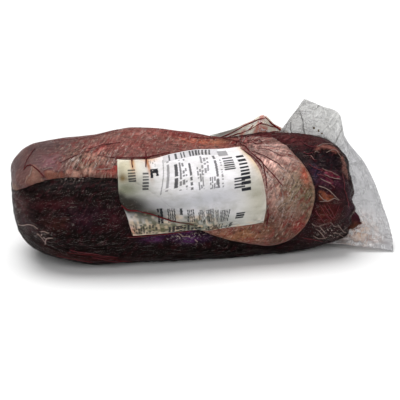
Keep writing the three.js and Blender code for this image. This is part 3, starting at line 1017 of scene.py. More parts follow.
def clear_film():
    """The shrunk film: clear but for milky folds and small glints; their milky white is painted
    highlight.
    """
    material, s = new_material("clear film")
    place = s.own_map()
    fan_zone, cross_zone, glint_zone = s.channels("Pulls")
    corner = (FAN_FROM[0], math.radians(FAN_FROM[1]) * ROUND_RADIUS, 0.0)
    spoke = s.vector_math("SUBTRACT", place, corner)
    axis = s.axes(spoke)
    polar = s.flat_vector(s.math("ARCTAN2", axis[1], axis[0]), s.vector_math("LENGTH", spoke))
    fan = s.group(CREASE_LINES, Map=polar, Stretch=(15.0, 40.0, 1.0), Width=0.055)["Line"]
    leant = s.vector_math("SUBTRACT", place, s.vector_math("MULTIPLY", s.swap(place), (0.5, 0, 0)))
    cross = s.group(CREASE_LINES, Map=leant, Stretch=(240.0, 32.0, 1.0), Width=0.04)["Line"]
    along = s.group(CREASE_LINES, Map=place, Stretch=(40.0, 300.0, 1.0), Width=0.022)["Line"]
    # The milky lines along the folds are painted highlight.
    lines = s.math("MAXIMUM", s.product(fan, fan_zone), s.product(cross, cross_zone))
    lines = s.math("MAXIMUM", lines, s.product(along, 0.16))
    # White specks where the film glints: painted glints, milky and more mirror-like.
    painted_glint_specks = s.between(s.noise(place, 380.0, 2.0), 0.56, 0.64)
    lines = s.math("MAXIMUM", lines, s.product(painted_glint_specks, glint_zone))
    s.film_surface(
        milk=srgb(222, 196, 186),
        milkiness=s.total(0.001, s.product(lines, 0.60)),
        milk_roughness=0.4,
        normal=s.bump(lines, 0.0006, 0.7),
        tint=0.985,
        mirror=s.total(0.02, s.product(lines, 0.8)),
        polish=0.14,
    )
    return material


def loose_film(name, cover, stretch):
    """Doubled film that stands free: grey and half clear, with white and dark creases."""
    material, s = new_material(name)
    place = s.own_map()
    fine = s.group(CREASE_LINES, Map=place, Stretch=stretch, Width=0.05, Broken=0.40)
    other = s.group(CREASE_LINES, Map=s.swap(place), Stretch=stretch, Width=0.03, Broken=0.5)
    cloudy = s.noise(place, 45.0, 4.0)
    white = s.math("MAXIMUM", fine["Line"], s.product(other["Line"], 0.7))
    opacity = s.total(cover, s.swing(cloudy, 0.35))
    s.film_surface(
        milk=s.blend(s.product(white, 0.8), s.attribute("Tone"), srgb(240, 240, 242)),
        milkiness=s.total(opacity, s.product(white, 0.15), clamp=True),
        milk_roughness=0.35,
        normal=s.bump(s.total(cloudy, white), 0.0012, 0.6),
        tint=0.93,
        mirror=0.7,
        polish=0.2,
    )
    return material


def plain_wet(name, colour):
    """One wet colour with a fine darker grain."""
    material, s = new_material(name)
    grain = s.noise(s.node("ShaderNodeTexCoord").outputs["Object"], 300.0)
    shaded = s.blend(s.between(grain, 0.35, 0.65), tuple(0.55 * c for c in colour), colour)
    s.plain_surface(shaded, Roughness=0.3, Specular_IOR_Level=0.12)
    return material


# The label's print: left and right at the block's top, low, high, lean, columns, rows, how solid,
# how broken, how strong.
PRINT_BLOCKS = [
    (0.410, 0.815, 0.890, 0.990, 0.2, 0, 0, 1.00, 0.00, 0.25),
    (0.450, 0.800, 0.895, 0.985, 0.2, 15, 0, 0.60, 0.10, 0.90),
    (0.105, 0.165, 0.70, 0.86, 0.0, 0, 5, 0.60, 0.00, 0.85),
    (0.225, 0.270, 0.58, 0.82, 0.1, 0, 6, 0.60, 0.00, 0.85),
    (0.290, 0.350, 0.87, 0.97, 0.1, 4, 4, 0.60, 0.55, 0.45),
    (0.285, 0.345, 0.73, 0.84, 0.1, 3, 2, 0.90, 0.25, 1.00),
    (0.395, 0.401, 0.50, 0.93, 0.2, 0, 0, 1.00, 0.00, 0.60),
    (0.415, 0.437, 0.52, 0.90, 0.2, 1, 10, 0.75, 0.25, 0.60),
    (0.452, 0.480, 0.56, 0.84, 0.2, 1, 7, 0.80, 0.20, 0.90),
    (0.492, 0.550, 0.52, 0.88, 0.2, 3, 9, 0.65, 0.30, 0.75),
    (0.562, 0.584, 0.50, 0.88, 0.2, 1, 9, 0.80, 0.20, 0.85),
    (0.598, 0.655, 0.48, 0.76, 0.2, 3, 7, 0.65, 0.30, 0.70),
    (0.668, 0.735, 0.64, 0.90, 0.2, 3, 6, 0.65, 0.35, 0.65),
    (0.670, 0.740, 0.46, 0.60, 0.2, 4, 5, 0.65, 0.25, 0.75),
    (0.750, 0.770, 0.46, 0.88, 0.1, 1, 14, 0.80, 0.20, 0.80),
    (0.782, 0.796, 0.46, 0.86, 0.1, 1, 12, 0.80, 0.30, 0.65),
    (0.800, 0.865, 0.87, 0.950, 0.1, 0, 0, 1.00, 0.00, 0.60),
    (0.805, 0.870, 0.67, 0.855, 0.1, 0, 6, 0.58, 0.00, 0.95),
    (0.825, 0.885, 0.43, 0.550, 0.1, 0, 4, 0.58, 0.00, 0.95),
    (0.897, 0.950, 0.40, 0.870, 0.1, 0, 9, 0.60, 0.00, 1.00),
    (0.258, 0.295, 0.18, 0.340, 0.1, 2, 3, 0.85, 0.10, 1.00),
    (0.320, 0.365, 0.18, 0.330, 0.1, 4, 0, 0.60, 0.00, 0.90),
    (0.385, 0.400, 0.24, 0.330, 0.1, 1, 2, 0.90, 0.20, 0.95),
    (0.420, 0.460, 0.17, 0.310, 0.1, 4, 0, 0.58, 0.00, 0.90),
    (0.480, 0.525, 0.16, 0.290, 0.1, 4, 3, 0.65, 0.20, 0.80),
    (0.540, 0.625, 0.14, 0.280, 0.1, 7, 0, 0.58, 0.00, 0.95),
    (0.640, 0.680, 0.13, 0.260, 0.1, 4, 2, 0.65, 0.20, 0.80),
    (0.695, 0.780, 0.12, 0.250, 0.1, 7, 0, 0.58, 0.00, 0.95),
    (0.815, 0.862, 0.13, 0.205, 0.1, 0, 3, 0.75, 0.00, 1.00),
    (0.040, 0.240, 0.03, 0.170, 0.1, 9, 3, 0.70, 0.35, 0.75),
    (0.300, 0.480, 0.02, 0.130, 0.1, 9, 3, 0.75, 0.25, 0.90),
    (0.500, 0.800, 0.01, 0.095, 0.1, 14, 2, 0.75, 0.30, 0.80),
]

# Soft areas on the label, several of them painted shade: (place on it, reach, colour as it looks).
LABEL_BASE = srgb(253, 250, 254)
LABEL_AREAS = [
    # Painted shade: greyer over the foot, where the label curves under, and in a band above it.
    ((0.50, 0.06), (0.60, 0.22), (124, 128, 118)),
    ((0.55, 0.38), (0.60, 0.12), (190, 190, 195)),
    ((0.08, 0.88), (0.17, 0.22), (226, 216, 188)),
    # Painted shade down the left side.
    ((0.06, 0.60), (0.24, 0.22), (118, 120, 100)),
    ((0.055, 0.76), (0.035, 0.05), (128, 106, 66)),
    # Painted shade under the film's slanting fold, dark with the blood pooled there too.
    ((0.07, 0.38), (0.19, 0.10), (22, 20, 16)),
    ((0.18, 0.28), (0.14, 0.07), (52, 50, 38)),
    ((0.20, 0.11), (0.22, 0.10), (134, 124, 96)),
    ((0.02, 0.06), (0.06, 0.10), (206, 146, 122)),
    ((0.10, 0.03), (0.12, 0.03), (214, 190, 166)),
    ((1.00, 0.75), (0.050, 0.40), (232, 200, 164)),
    ((0.94, 0.30), (0.10, 0.34), (190, 186, 172)),
    ((0.30, 0.99), (0.08, 0.06), (226, 190, 160)),
    ((0.15, 0.95), (0.020, 0.14), (206, 150, 100)),
    ((0.28, 0.93), (0.015, 0.16), (196, 130, 84)),
    ((0.60, 0.03), (0.06, 0.05), (150, 110, 80)),
]


def label_paper():
    """White label stock, dulled in places, with its print and painted shade in the piece's own
    Tone.
    """
    material, s = new_material("label paper")
    dull = s.between(s.noise(s.own_map(), 9.0, 4.0), 0.42, 0.72)
    stain = srgb(196, 196, 186)
    colour = s.blend(s.product(dull, 0.6), s.attribute("Tone"), stain, "MULTIPLY")
    s.plain_surface(colour, Roughness=0.45, Specular_IOR_Level=0.12)
    return material


def chance(x, y):
    """A fixed random value for each pair of whole numbers."""
    mixed = np.sin(x * 12.9898 + y * 78.233 + 4.1) * 43758.5453
    return mixed - np.floor(mixed)


def print_ink(across, up):
    """How much ink lies at each place of the label: blocks of broken columns and rows."""
    ink = np.zeros(len(across))
    for block in PRINT_BLOCKS:
        left, right, low, high, lean, columns, rows, solid, broken, strength = block
        x = (across + lean * (high - up) - left) / (right - left)
        y = (up - low) / (high - low)
        inside = (x > 0) & (x < 1) & (y > 0) & (y < 1)
        place, count = (x, columns) if columns else (y, rows)
        bar = np.floor(place * count)
        if count:
            inside &= place * count - bar < solid * (0.75 + 0.5 * chance(bar, count))
        dash = np.floor(y * rows * 2 + 5 * chance(bar, left)) if columns and rows else 0
        kept = chance(bar + 31 * left, dash) > broken
        ink = np.where(inside & kept, np.maximum(ink, strength), ink)
    return ink


# ---- Pieces on the bag ---------------------------------------------------------------------------


def dress(piece, *nodes, slot):
    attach(piece, "root")
    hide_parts(*nodes)


def thicken(piece, thickness, offset):
    wall = piece.modifiers.new("thickness", "SOLIDIFY")
    wall.thickness = thickness
    wall.offset = offset


def make_dark_blade():
    piece = new_piece("dark_blade", new_ball(*DARK_MESH), dark_meat())
    places = place_over_bag(piece)
    covers = lay_patches(places, DARK_PATCHES)
    colour = paint(places, DARK_BASE, DARK_AREAS, covers, DARK_PATCHES)
    # Deep shade lies along the pale blade's right edge.
    shade = bell(places.inside_blade, 0.006) * smooth(places.along, 0.24, 0.30)
    colour = lay_over(colour, srgb(24, 14, 16), 0.85 * shade)
    set_colours(piece.data, "Tone", colour)
    set_colours(piece.data, "Grain", grain(places, DARK_GRAIN))
    height = dark_height(places, covers)
    set_vertices(piece.data, bag_point(places.along, places.round, height, FLOOR_CLEARANCE))
    dress(piece, "bag", slot="bagged_meat")


def make_pale_blade():
    bm = new_ball(*PALE_MESH)
    whole = bpy.data.meshes.new("whole ball")
    bm.to_mesh(whole)
    outside = inside_outline(*ball_places(whole), BLADE_LINE) < -PALE_RIM_BELOW
    bpy.data.meshes.remove(whole)
    bm.verts.ensure_lookup_table()
    spare = [bm.verts[i] for i in np.flatnonzero(outside)]
    bmesh.ops.delete(bm, geom=spare, context="VERTS")
    piece = new_piece("pale_blade", bm, pale_meat())
    places = place_over_bag(piece)
    covers = lay_patches(places, PALE_PATCHES)
    colour = paint(places, PALE_BASE, PALE_AREAS, covers, PALE_PATCHES)
    # A thin pale line along the rim, pinker on the left and paler round the lobe, is a painted
    # highlight where the rounded edge catches the light.
    rim = bell(places.inside_blade - 0.0022, 0.0016)
    rim = rim * smooth(noise(places.flat * 70, 71), -0.6, 0.3)
    pink = rim * smooth(places.along, 0.055, 0.080) * (places.along < 0.15)
    cream = rim * (places.along > 0.20) * (places.round < 60)
    colour = lay_over(colour, srgb(160, 102, 92), 0.7 * pink)
    colour = lay_over(colour, srgb(150, 118, 98), 0.7 * cream)
    set_colours(piece.data, "Tone", colour)
    set_colours(piece.data, "Grain", grain(places, PALE_GRAIN))
    height = pale_height(places, covers)
    set_vertices(piece.data, bag_point(places.along, places.round, height, FLOOR_CLEARANCE))
    thicken(piece, PALE_THICKNESS, offset=-1)
    dress(piece, "bag", slot="bagged_meat")


def make_meat_tip():
    """A small pointed tongue of meat that stands out into the flat end of the bag."""
    bm = bmesh.new()
    rings, segments = TIP_MESH
    bmesh.ops.create_uvsphere(bm, u_segments=segments, v_segments=rings, radius=1)
    piece = new_piece("meat_tip", bm, dark_meat())
    ball = vertex_array(piece.data)
    x, _, z = ball.T
    middle, size = np.array(TIP_MIDDLE), np.array(TIP_SIZE)
    # Towards its point it gets longer and thinner, and droops.
    point = (np.clip(x, 0, 1) ** 2)[:, None]
    shape = ball * (1 + point * (0.25, -0.5, -0.5)) - point * (0, 0, 0.5)
    rough = 1 + 0.10 * noise(ball * 2.6, 47)
    set_vertices(piece.data, middle + shape * rough[:, None] * size)
    lay_map(piece.data, middle[0] + size[0] * x, size[2] * z)
    lower = smooth(-z, -0.2, 0.7) * smooth(x, -0.2, 0.6)
    colour = np.tile(srgb(50, 18, 28), (len(x), 1))
    set_colours(piece.data, "Tone", lay_over(colour, srgb(98, 60, 42), lower))
    set_colours(piece.data, "Grain", np.tile((0.9, 0.8, 0.3), (len(x), 1)))
    dress(piece, "bag", slot="bagged_meat")


def make_film():
    piece = new_piece("film", new_ball(*FILM_MESH), clear_film())
    places = place_over_bag(piece)
    set_colours(piece.data, "Pulls", np.stack(places.zones, axis=-1))
    set_vertices(piece.data, bag_point(places.along, places.round, film_height(places)))
    dress(piece, "bag", slot="bagged_meat")


def label_place(across, up):
    """The label's patch between its four edges."""
    a, u = across[..., None], up[..., None]
    corners = (
        np.array(LABEL_BOTTOM[0]) * (1 - a) * (1 - u)
        + np.array(LABEL_BOTTOM[-1]) * a * (1 - u)
        + np.array(LABEL_TOP[0]) * (1 - a) * u
        + np.array(LABEL_TOP[-1]) * a * u
    )
    upright = spline(LABEL_BOTTOM, across) * (1 - u) + spline(LABEL_TOP, across) * u
    lengthwise = spline(LABEL_LEFT, up) * (1 - a) + spline(LABEL_RIGHT, up) * a
    place = upright + lengthwise - corners
    return place[..., 0], place[..., 1]


def wet_stains(tone, across, up):
    """Dark and cream stains that mottle the label's foot."""
    flat = pattern(across * 42, up * 36)
    foot = (1 - smooth(up, 0.16, 0.36)) * (1 - smooth(across, 0.45, 0.80))
    foot = np.maximum(foot, 0.8 * (1 - smooth(up, 0.03, 0.13)))
    dark = foot * smooth(noise(flat, 91), -0.20, 0.60)
    cream = foot * smooth(noise(flat, 92), 0.0, 0.6)
    tone = lay_over(tone, srgb(64, 66, 40), 0.75 * dark)
    return lay_over(tone, srgb(226, 200, 172), 0.5 * cream)


def fold_shade(tone, along, round_):
    """The film's slanting fold shades the paper above it, most of all at its left end."""
    fold = np.array(BLOOD_LINES["slanting fold"][0])
    above = round_ - np.interp(along, fold[:, 0], fold[:, 1])
    wide = (1 - smooth(above, 7, 15)) * smooth(above, -3, -1)
    wide = wide * (1 - smooth(along, fold[0, 0] + 0.008, fold[0, 0] + 0.030))
    close = 0.6 * np.exp(-np.clip(above, 0, None) / 2.5) * smooth(above, -2, 0)
    close = close * (1 - smooth(along, fold[2, 0], fold[-1, 0]))
    return lay_over(tone, srgb(38, 34, 28), 0.97 * np.maximum(wide, close))


def make_label():
    bm = bmesh.new()
    columns, rows = (round(count * (1)) for count in LABEL_MESH)
    bmesh.ops.create_grid(bm, x_segments=columns, y_segments=rows, size=0.5)
    piece = new_piece("paper_label", bm, label_paper())
    across, up, _ = vertex_array(piece.data).T + 0.5
    along, round_ = label_place(across, up)
    places = Places(along, round_)
    lay_map(piece.data, across, up)
    tone = np.tile(LABEL_BASE, (len(across), 1))
    for place, reach, colour in LABEL_AREAS:
        tone = lay_over(tone, srgb(*colour), spot(across, up, place, reach))
    tone = wet_stains(tone, across, up)
    tone = lay_over(tone, srgb(30, 32, 38), print_ink(across, up))
    set_colours(piece.data, "Tone", fold_shade(tone, along, round_))
    meat = np.maximum(dark_height(places), pale_height(places))
    height = np.maximum(places.bag_relief(), meat) + LABEL_LIFT
    set_vertices(piece.data, bag_point(along, round_, height))
    thicken(piece, LABEL_THICKNESS, offset=1)
    dress(piece, "label", slot="label_paper")


# Blood drawn into folds of the film: name, its line of (along, round), and its width.
BLOOD_LINES = {
    "label top": ([(0.126, 61), (0.141, 57), (0.1565, 54), (0.1707, 52.5), (0.180, 55),
                   (0.196, 60)], 0.0013),
    "first stub": ([(0.158, 54), (0.158, 49), (0.1579, 43)], 0.0010),
    "second stub": ([(0.1722, 60), (0.1717, 52), (0.1702, 42)], 0.0010),
    "slanting fold": ([(0.1446, 13), (0.1506, 8), (0.1592, 6.5), (0.1689, 4.5), (0.1823, 1.5),
                       (0.1975, -1.5), (0.2152, -3.5)], 0.0015),
    "label foot": ([(0.1500, -12), (0.1712, -11.5), (0.1926, -10.5), (0.2140, -9)], 0.0009),
    "label corner": ([(0.2711, 82), (0.2744, 74), (0.2773, 66), (0.2825, 57), (0.2868, 49),
                      (0.2887, 37), (0.2892, 24)], 0.0018),
    "inner corner": ([(0.2690, 71), (0.2754, 62), (0.2820, 54), (0.2862, 45)], 0.0015),
    "label right foot": ([(0.2890, 6), (0.2892, 0), (0.2885, -7)], 0.0015),
    "upper pull": ([(0.2740, 82), (0.2858, 76), (0.2968, 73)], 0.0015),
    "top pull": ([(0.2792, 85), (0.2870, 82), (0.2939, 78)], 0.0013),
    "fan 1": ([(0.2825, 56), (0.2930, 40), (0.3049, 25)], 0.0008),
    "fan 2": ([(0.2800, 66), (0.2920, 56), (0.3068, 42)], 0.0008),
    "fan 3": ([(0.2850, 68), (0.2980, 62), (0.3080, 55)], 0.0007),
    "triangle top": ([(0.0530, 60), (0.0600, 63), (0.0665, 56), (0.0718, 47)], 0.0010),
    "closed end": ([(0.0545, 62), (0.0600, 76), (0.0680, 88)], 0.0008),
    "left pull": ([(0.0900, 58), (0.1080, 66), (0.1240, 69)], 0.0008),
    "left pull 2": ([(0.1180, 72), (0.1320, 76), (0.1500, 75)], 0.0010),
    "top pull 2": ([(0.2560, 92), (0.2680, 87), (0.2760, 80)], 0.0014),
    "top pull 3": ([(0.2640, 78), (0.2700, 86), (0.2790, 92)], 0.0012),
    "ridge": ([(0.2250, 88), (0.2500, 92), (0.2750, 92), (0.2950, 88)], 0.0008),
    "underside": ([(0.0918, -32), (0.1217, -36), (0.1488, -46)], 0.0009),
}

# Threads of fat, and bright strands of the film that are painted glints, the same way.
FAT_AND_GLINT_LINES = [
    # On the closed end and at its foot: painted glints.
    ([(0.0386, -33), (0.0484, -14), (0.0575, -7), (0.0630, -9)], 0.0005),
    ([(0.0618, -16), (0.0672, -22), (0.0710, -28)], 0.0004),
    ([(0.0700, -31), (0.0705, -24), (0.0725, -18), (0.0782, -16)], 0.0004),
    ([(0.0660, -12), (0.0700, -10), (0.0740, -11)], 0.0004),
    # Along the left of the pale blade's edge: cream lines, partly fat and partly painted highlight.
    ([(0.0526, 42), (0.0575, 47), (0.0618, 52), (0.0630, 57)], 0.0006),
    ([(0.0593, 48), (0.0624, 53)], 0.0004),
    ([(0.0733, 52.5), (0.0776, 54), (0.0825, 54)], 0.0006),
    ([(0.1240, 48), (0.1306, 47), (0.1370, 46)], 0.0010),
    # Two tendons, and seven bright strands of painted glint, on the open end.
    ([(0.3436, 25), (0.3485, 23), (0.3540, 19.5), (0.3588, 15.5),
     (0.3631, 12)], 0.0006),
    ([(0.3442, 9), (0.3515, 10.5), (0.3576, 13.5), (0.3631, 12)], 0.0004),
    ([(0.3479, 44), (0.3546, 41), (0.3655, 38)], 0.0005),
    ([(0.3503, 37), (0.3582, 34), (0.3667, 34)], 0.0003),
    ([(0.3454, 33), (0.3534, 28), (0.3582, 24)], 0.0003),
    ([(0.3430, 16), (0.3467, 12), (0.3503, 11)], 0.0003),
    ([(0.3400, 63), (0.3418, 60), (0.3430, 56)], 0.0004),
    ([(0.3485, 72), (0.3588, 80), (0.3686, 82)], 0.0004),
    ([(0.3576, 67), (0.3686, 73), (0.3747, 67)], 0.0003),
    # A net of bright strands at the open end's foot: painted glints.
    ([(0.3369, -11), (0.3424, -14), (0.3479, -12), (0.3515, -10)], 0.0003),
    ([(0.3412, -17), (0.3467, -21), (0.3521, -30)], 0.0003),
    ([(0.3454, -14), (0.3485, -18), (0.3527, -23)], 0.0004),
    ([(0.3558, -8), (0.3613, -14), (0.3692, -17)], 0.0003),
    ([(0.3661, -13), (0.3728, -22), (0.3832, -36)], 0.0005),
    ([(0.3387, -25), (0.3454, -30), (0.3534, -28)], 0.0003),
    ([(0.3607, -23), (0.3698, -28), (0.3820, -48)], 0.0003),
    # A cream spot high on the open end.
    ([(0.3454, 67), (0.3473, 68), (0.3497, 67)], 0.0006),
    # Below the label: painted glints.
    ([(0.2000, -10), (0.2030, -13), (0.2054, -15), (0.2121, -15)], 0.0006),
    ([(0.2170, -19), (0.2200, -22)], 0.0005),
    # On the pale blade's lobe: painted glints.
    ([(0.3130, 36), (0.3155, 31), (0.3160, 27)], 0.0005),
    ([(0.2955, 26), (0.2965, 20), (0.2973, 14)], 0.0005),
    ([(0.3025, 22), (0.3040, 17), (0.3045, 13)], 0.0005),
]

# Bright pink edges of torn meat, and pink strands that are painted glints, the same way.
PINK_EDGE_AND_GLINT_LINES = [
    # Streaks and fibres on the open end, some of them painted glints.
    ([(0.3479, 42.5), (0.3552, 40), (0.3631, 36.5)], 0.0005),
    ([(0.3424, 38), (0.3503, 35), (0.3576, 30)], 0.0005),
    ([(0.3540, 29), (0.3558, 26), (0.3582, 24)], 0.0006),
    ([(0.3369, 63), (0.3406, 61), (0.3430, 56)], 0.0006),
    ([(0.3442, 6), (0.3491, 0), (0.3564, -6)], 0.0005),
    ([(0.3479, 6), (0.3521, 1), (0.3576, -4)], 0.0004),
    ([(0.3515, 7), (0.3558, 1), (0.3600, -3)], 0.0004),
    ([(0.3637, 7), (0.3600, 0), (0.3552, -6)], 0.0004),
    ([(0.3747, 44), (0.3710, 29), (0.3716, 19)], 0.0004),
    ([(0.3722, 21), (0.3740, 14), (0.3771, 5)], 0.0005),
    ([(0.3296, -29), (0.3394, -31), (0.3503, -36)], 0.0004),
    ([(0.3406, 1), (0.3442, -3), (0.3503, -10)], 0.0004),
    ([(0.3357, 51), (0.3412, 45), (0.3485, 41)], 0.0004),
    ([(0.3333, 84), (0.3394, 75), (0.3479, 71)], 0.0006),
    ([(0.3327, 67), (0.3375, 65), (0.3430, 66)], 0.0004),
    ([(0.3442, 72), (0.3500, 77), (0.3558, 81)], 0.0005),
    # On top at the left.
    ([(0.0867, 100), (0.1001, 96), (0.1257, 93), (0.1519, 95)], 0.0005),
    # Along the foot.
    ([(0.0819, -45), (0.0977, -44), (0.1172, -47)], 0.0005),
    ([(0.1166, -38), (0.1366, -45), (0.1567, -52)], 0.0006),
    ([(0.0946, -29), (0.1220, -34), (0.1415, -38)], 0.0004),
]


def lay_ribbons(name, lines, material):
    """One piece of strips laid along lines on a surface; a line is (points, normals, width)."""
    steps = len(lines[0][0]) - 1
    taper = np.sin(math.pi * np.linspace(0.04, 0.96, steps + 1)) ** 0.6
    bm = bmesh.new()
    for _ in lines:
        bmesh.ops.create_grid(bm, x_segments=steps, y_segments=2, size=0.5)
    piece = new_piece(name, bm, material)
    t, side, _ = vertex_array(piece.data).T
    count = len(t) // len(lines)
    placed = []
    for number, (points, normals, width) in enumerate(lines):
        part = slice(number * count, (number + 1) * count)
        step = np.clip(np.round((t[part] + 0.5) * steps).astype(int), 0, steps)
        forward = np.gradient(points, axis=0)
        sideways = np.cross(forward, normals)
        sideways /= np.linalg.norm(sideways, axis=-1, keepdims=True) + 1e-15
        run = pattern(np.linspace(0, 8, steps + 1) + 5 * number, np.zeros(steps + 1))
        swell = taper * (0.75 + 0.5 * noise(run, 83))
        reach = (side[part] * width * swell[step])[:, None]
        arch = (LINE_ARCH * (1 - (2 * side[part]) ** 2))[:, None]
        placed.append(points[step] + sideways[step] * reach + normals[step] * arch)
    set_vertices(piece.data, np.concatenate(placed))
    thicken(piece, LINE_THICKNESS, offset=-1)
    dress(piece, "bag", slot="bagged_meat")


def bag_lines(paths, steps):
    """Lines of (along, round) lifted onto the film."""
    t = np.linspace(0, 1, steps + 1)
    flat = [spline(path, t) for path, _ in paths]
    for number, line in enumerate(flat):
        run = pattern(t * 9 + 7 * number, 0 * t)
        line[:, 0] += LINE_WANDER * noise(run, 81)
        line[:, 1] += LINE_WANDER_ROUND * noise(run, 82)
    places = Places(*np.concatenate(flat).T)
    height = film_height(places) - LINE_SINK
    points = bag_point(places.along, places.round, height).reshape(len(flat), steps + 1, 3)
    normals = outward(places.along, places.round).reshape(len(flat), steps + 1, 3)
    return [(p, n, width) for p, n, (_, width) in zip(points, normals, paths)]


def make_bag_lines():
    blood = plain_wet("blood", srgb(92, 18, 24))
    # The fat colour also paints the film's bright strands, which are painted glints.
    fat = plain_wet("fat", srgb(152, 128, 120))
    # The torn meat colour also paints pink strands of painted glint.
    torn = plain_wet("torn meat", srgb(110, 44, 52))
    lay_ribbons("blood_lines", bag_lines(BLOOD_LINES.values(), steps=36), blood)
    lay_ribbons("fat_threads_and_glints", bag_lines(FAT_AND_GLINT_LINES, steps=24), fat)
    lay_ribbons("torn_edges_and_pink_glints", bag_lines(PINK_EDGE_AND_GLINT_LINES, steps=24), torn)


# ---- Loose film: the flat end and the ear --------------------------------------------------------


def curve_through(points, t):
    """A centripetal Catmull-Rom curve through points in space, t from 0 to 1."""
    p = np.array(points, float)
    p = np.concatenate([[2 * p[0] - p[1]], p, [2 * p[-1] - p[-2]]])
    last = len(points) - 1
    place = np.clip(t, 0, 1) * last
    i = np.minimum(np.floor(place).astype(int), last - 1)
    w = (place - i)[..., None]
    p0, p1, p2, p3 = p[i], p[i + 1], p[i + 2], p[i + 3]
    d0, d1, d2 = (
        np.maximum(np.linalg.norm(b - a, axis=-1, keepdims=True) ** 0.5, 1e-6)
        for a, b in ((p0, p1), (p1, p2), (p2, p3))
    )
    leave = ((p1 - p0) / d0 - (p2 - p0) / (d0 + d1) + (p2 - p1) / d1) * d1
    arrive = ((p2 - p1) / d1 - (p3 - p1) / (d1 + d2) + (p3 - p2) / d2) * d1
    return (
        (2 * p1 - 2 * p2 + leave + arrive) * w**3
        + (3 * p2 - 3 * p1 - 2 * leave - arrive) * w**2
        + leave * w
        + p1
    )


class Sheet:
    """Film between two lines: "across" runs along both, "out" from the first to the second."""

    def __init__(self, first, second, bend):
        self.first, self.second, self.bend = first, second, bend

    def middle(self, across, out):
        out = out[..., None]
        return mix(curve_through(self.first, across), curve_through(self.second, across), out)

    def normal(self, across, out):
        step = 0.01
        lengthwise = self.middle(across + step, out) - self.middle(across - step, out)
        upward = self.middle(across, np.minimum(out + step, 1))
        upward = upward - self.middle(across, np.maximum(out - step, 0))
        normal = np.cross(lengthwise, upward)
        return normal / (np.linalg.norm(normal, axis=-1, keepdims=True) + 1e-12)

    def point(self, across, out, lift=0.0):
        bent = self.bend(across, out) + lift
        points = self.middle(across, out) + self.normal(across, out) * bent[..., None]
        points[..., 2] = np.maximum(points[..., 2], SHEET_CLEARANCE)
        return points

    def lines(self, paths, steps):
        """Lines of (across, out) lifted off the side that faces the label's side."""
        t = np.linspace(0, 1, steps + 1)
        made = []
        for path, width in paths:
            across, out = np.clip(spline(path, t), 0, 1).T
            points = self.point(across, out, LOOSE_LINE_LIFT)
            made.append((points, self.normal(across, out), width))
        return made

    def make(self, name, mesh, length, height, colour, material):
        bm = bmesh.new()
        bmesh.ops.create_grid(bm, x_segments=mesh[0], y_segments=mesh[1], size=0.5)
        piece = new_piece(name, bm, material)
        across, out, _ = vertex_array(piece.data).T + 0.5
        lay_map(piece.data, across * length, out * height)
        set_colours(piece.data, "Tone", colour(across, out))
        set_vertices(piece.data, self.point(across, out))
        thicken(piece, LOOSE_FILM_THICKNESS, offset=0)
        dress(piece, "bag", slot="bagged_meat")


def tail_bend(across, out):
    bow = TAIL_BULGE * np.sin(math.pi * out) * np.sin(math.pi * across)
    flat = pattern(across * 20, out * 1.6 + 0.4 * across * 20)
    ripple = TAIL_RIPPLE * noise(flat, 31)
    ripple = ripple + TAIL_CREASE * creases(flat * (1.6, 1.2, 1), 32, 2.5)
    crumple = spot(across, out, *CRUMPLED_CORNER) * noise(pattern(across * 60, out * 14), 33)
    ripple = ripple + TAIL_CRUMPLE * crumple
    return bow + ripple * smooth(out, 0.05, 0.4)


def tail_colour(across, out):
    tone = np.tile(srgb(186, 185, 189), (len(across), 1))
    tone = lay_over(tone, srgb(226, 226, 222), 1 - smooth(across, 0.25, 0.45))
    uneven = 0.75 + 0.6 * noise(pattern(across * 50, out * 12), 35)
    soaked = np.clip(spot(across, out, *SOAKED_CORNER) * uneven, 0, 1)
    tone = lay_over(tone, srgb(204, 162, 130), soaked)
    streaks = smooth(noise(pattern(across * 90, out * 16 + across * 30), 36), 0.15, 0.5)
    tone = lay_over(tone, srgb(126, 62, 44), soaked * streaks)
    return lay_over(tone, srgb(150, 110, 104), 0.7 * bell(out, 0.10))


def ear_bend(across, out):
    uneven = noise(pattern(across * 14, out * 2), 41)
    return out * (EAR_WAVE * np.sin(11 * across) + EAR_RIPPLE * uneven)


def ear_colour(across, out):
    tone = np.tile(srgb(255, 246, 226), (len(across), 1))
    pink = smooth(noise(pattern(across * 16, out * 3), 43), 0.0, 0.7)
    tone = lay_over(tone, srgb(222, 152, 136), pink)
    return lay_over(tone, srgb(216, 218, 208), 1 - smooth(across, 0.12, 0.30))


TAIL = Sheet(TAIL_ROOT, TAIL_MOUTH, tail_bend)
EAR = Sheet(EAR_FOOT, EAR_CREST, ear_bend)

# Lines of (across, out) on the ear and the flat end, with their widths.
EAR_BLOOD = [
    ([(0.06, 0.20), (0.17, 0.42), (0.34, 0.86), (0.54, 0.84), (0.62, 0.88)], 0.0011),
    ([(0.16, 0.05), (0.30, 0.30), (0.47, 0.44), (0.60, 0.70)], 0.0008),
    ([(0.62, 0.94), (0.73, 0.88), (0.82, 0.86), (0.91, 0.67), (1.0, 0.4)], 0.0014),
    ([(0.55, 0.62), (0.70, 0.66), (0.82, 0.80)], 0.0009),
    ([(0.84, 0.90), (0.87, 0.80), (0.90, 0.66)], 0.0022),
    ([(0.44, 0.40), (0.47, 0.55), (0.48, 0.66)], 0.0008),
    ([(0.70, 0.20), (0.84, 0.50), (0.95, 0.70)], 0.0009),
]
TAIL_CREASES = [
    ([(0.02, 0.73), (0.08, 0.52), (0.12, 0.30), (0.17, 0.10)], 0.0010),
    ([(0.02, 0.42), (0.05, 0.25), (0.08, 0.12)], 0.0008),
    ([(0.33, 0.98), (0.34, 0.70), (0.36, 0.40), (0.37, 0.12)], 0.0010),
]
TAIL_SPECKS = [
    ([(0.165, 0.43), (0.17, 0.41), (0.175, 0.38)], 0.0022),
    ([(0.205, 0.37), (0.21, 0.36), (0.215, 0.33)], 0.0026),
    ([(0.24, 0.32), (0.245, 0.30)], 0.0020),
]


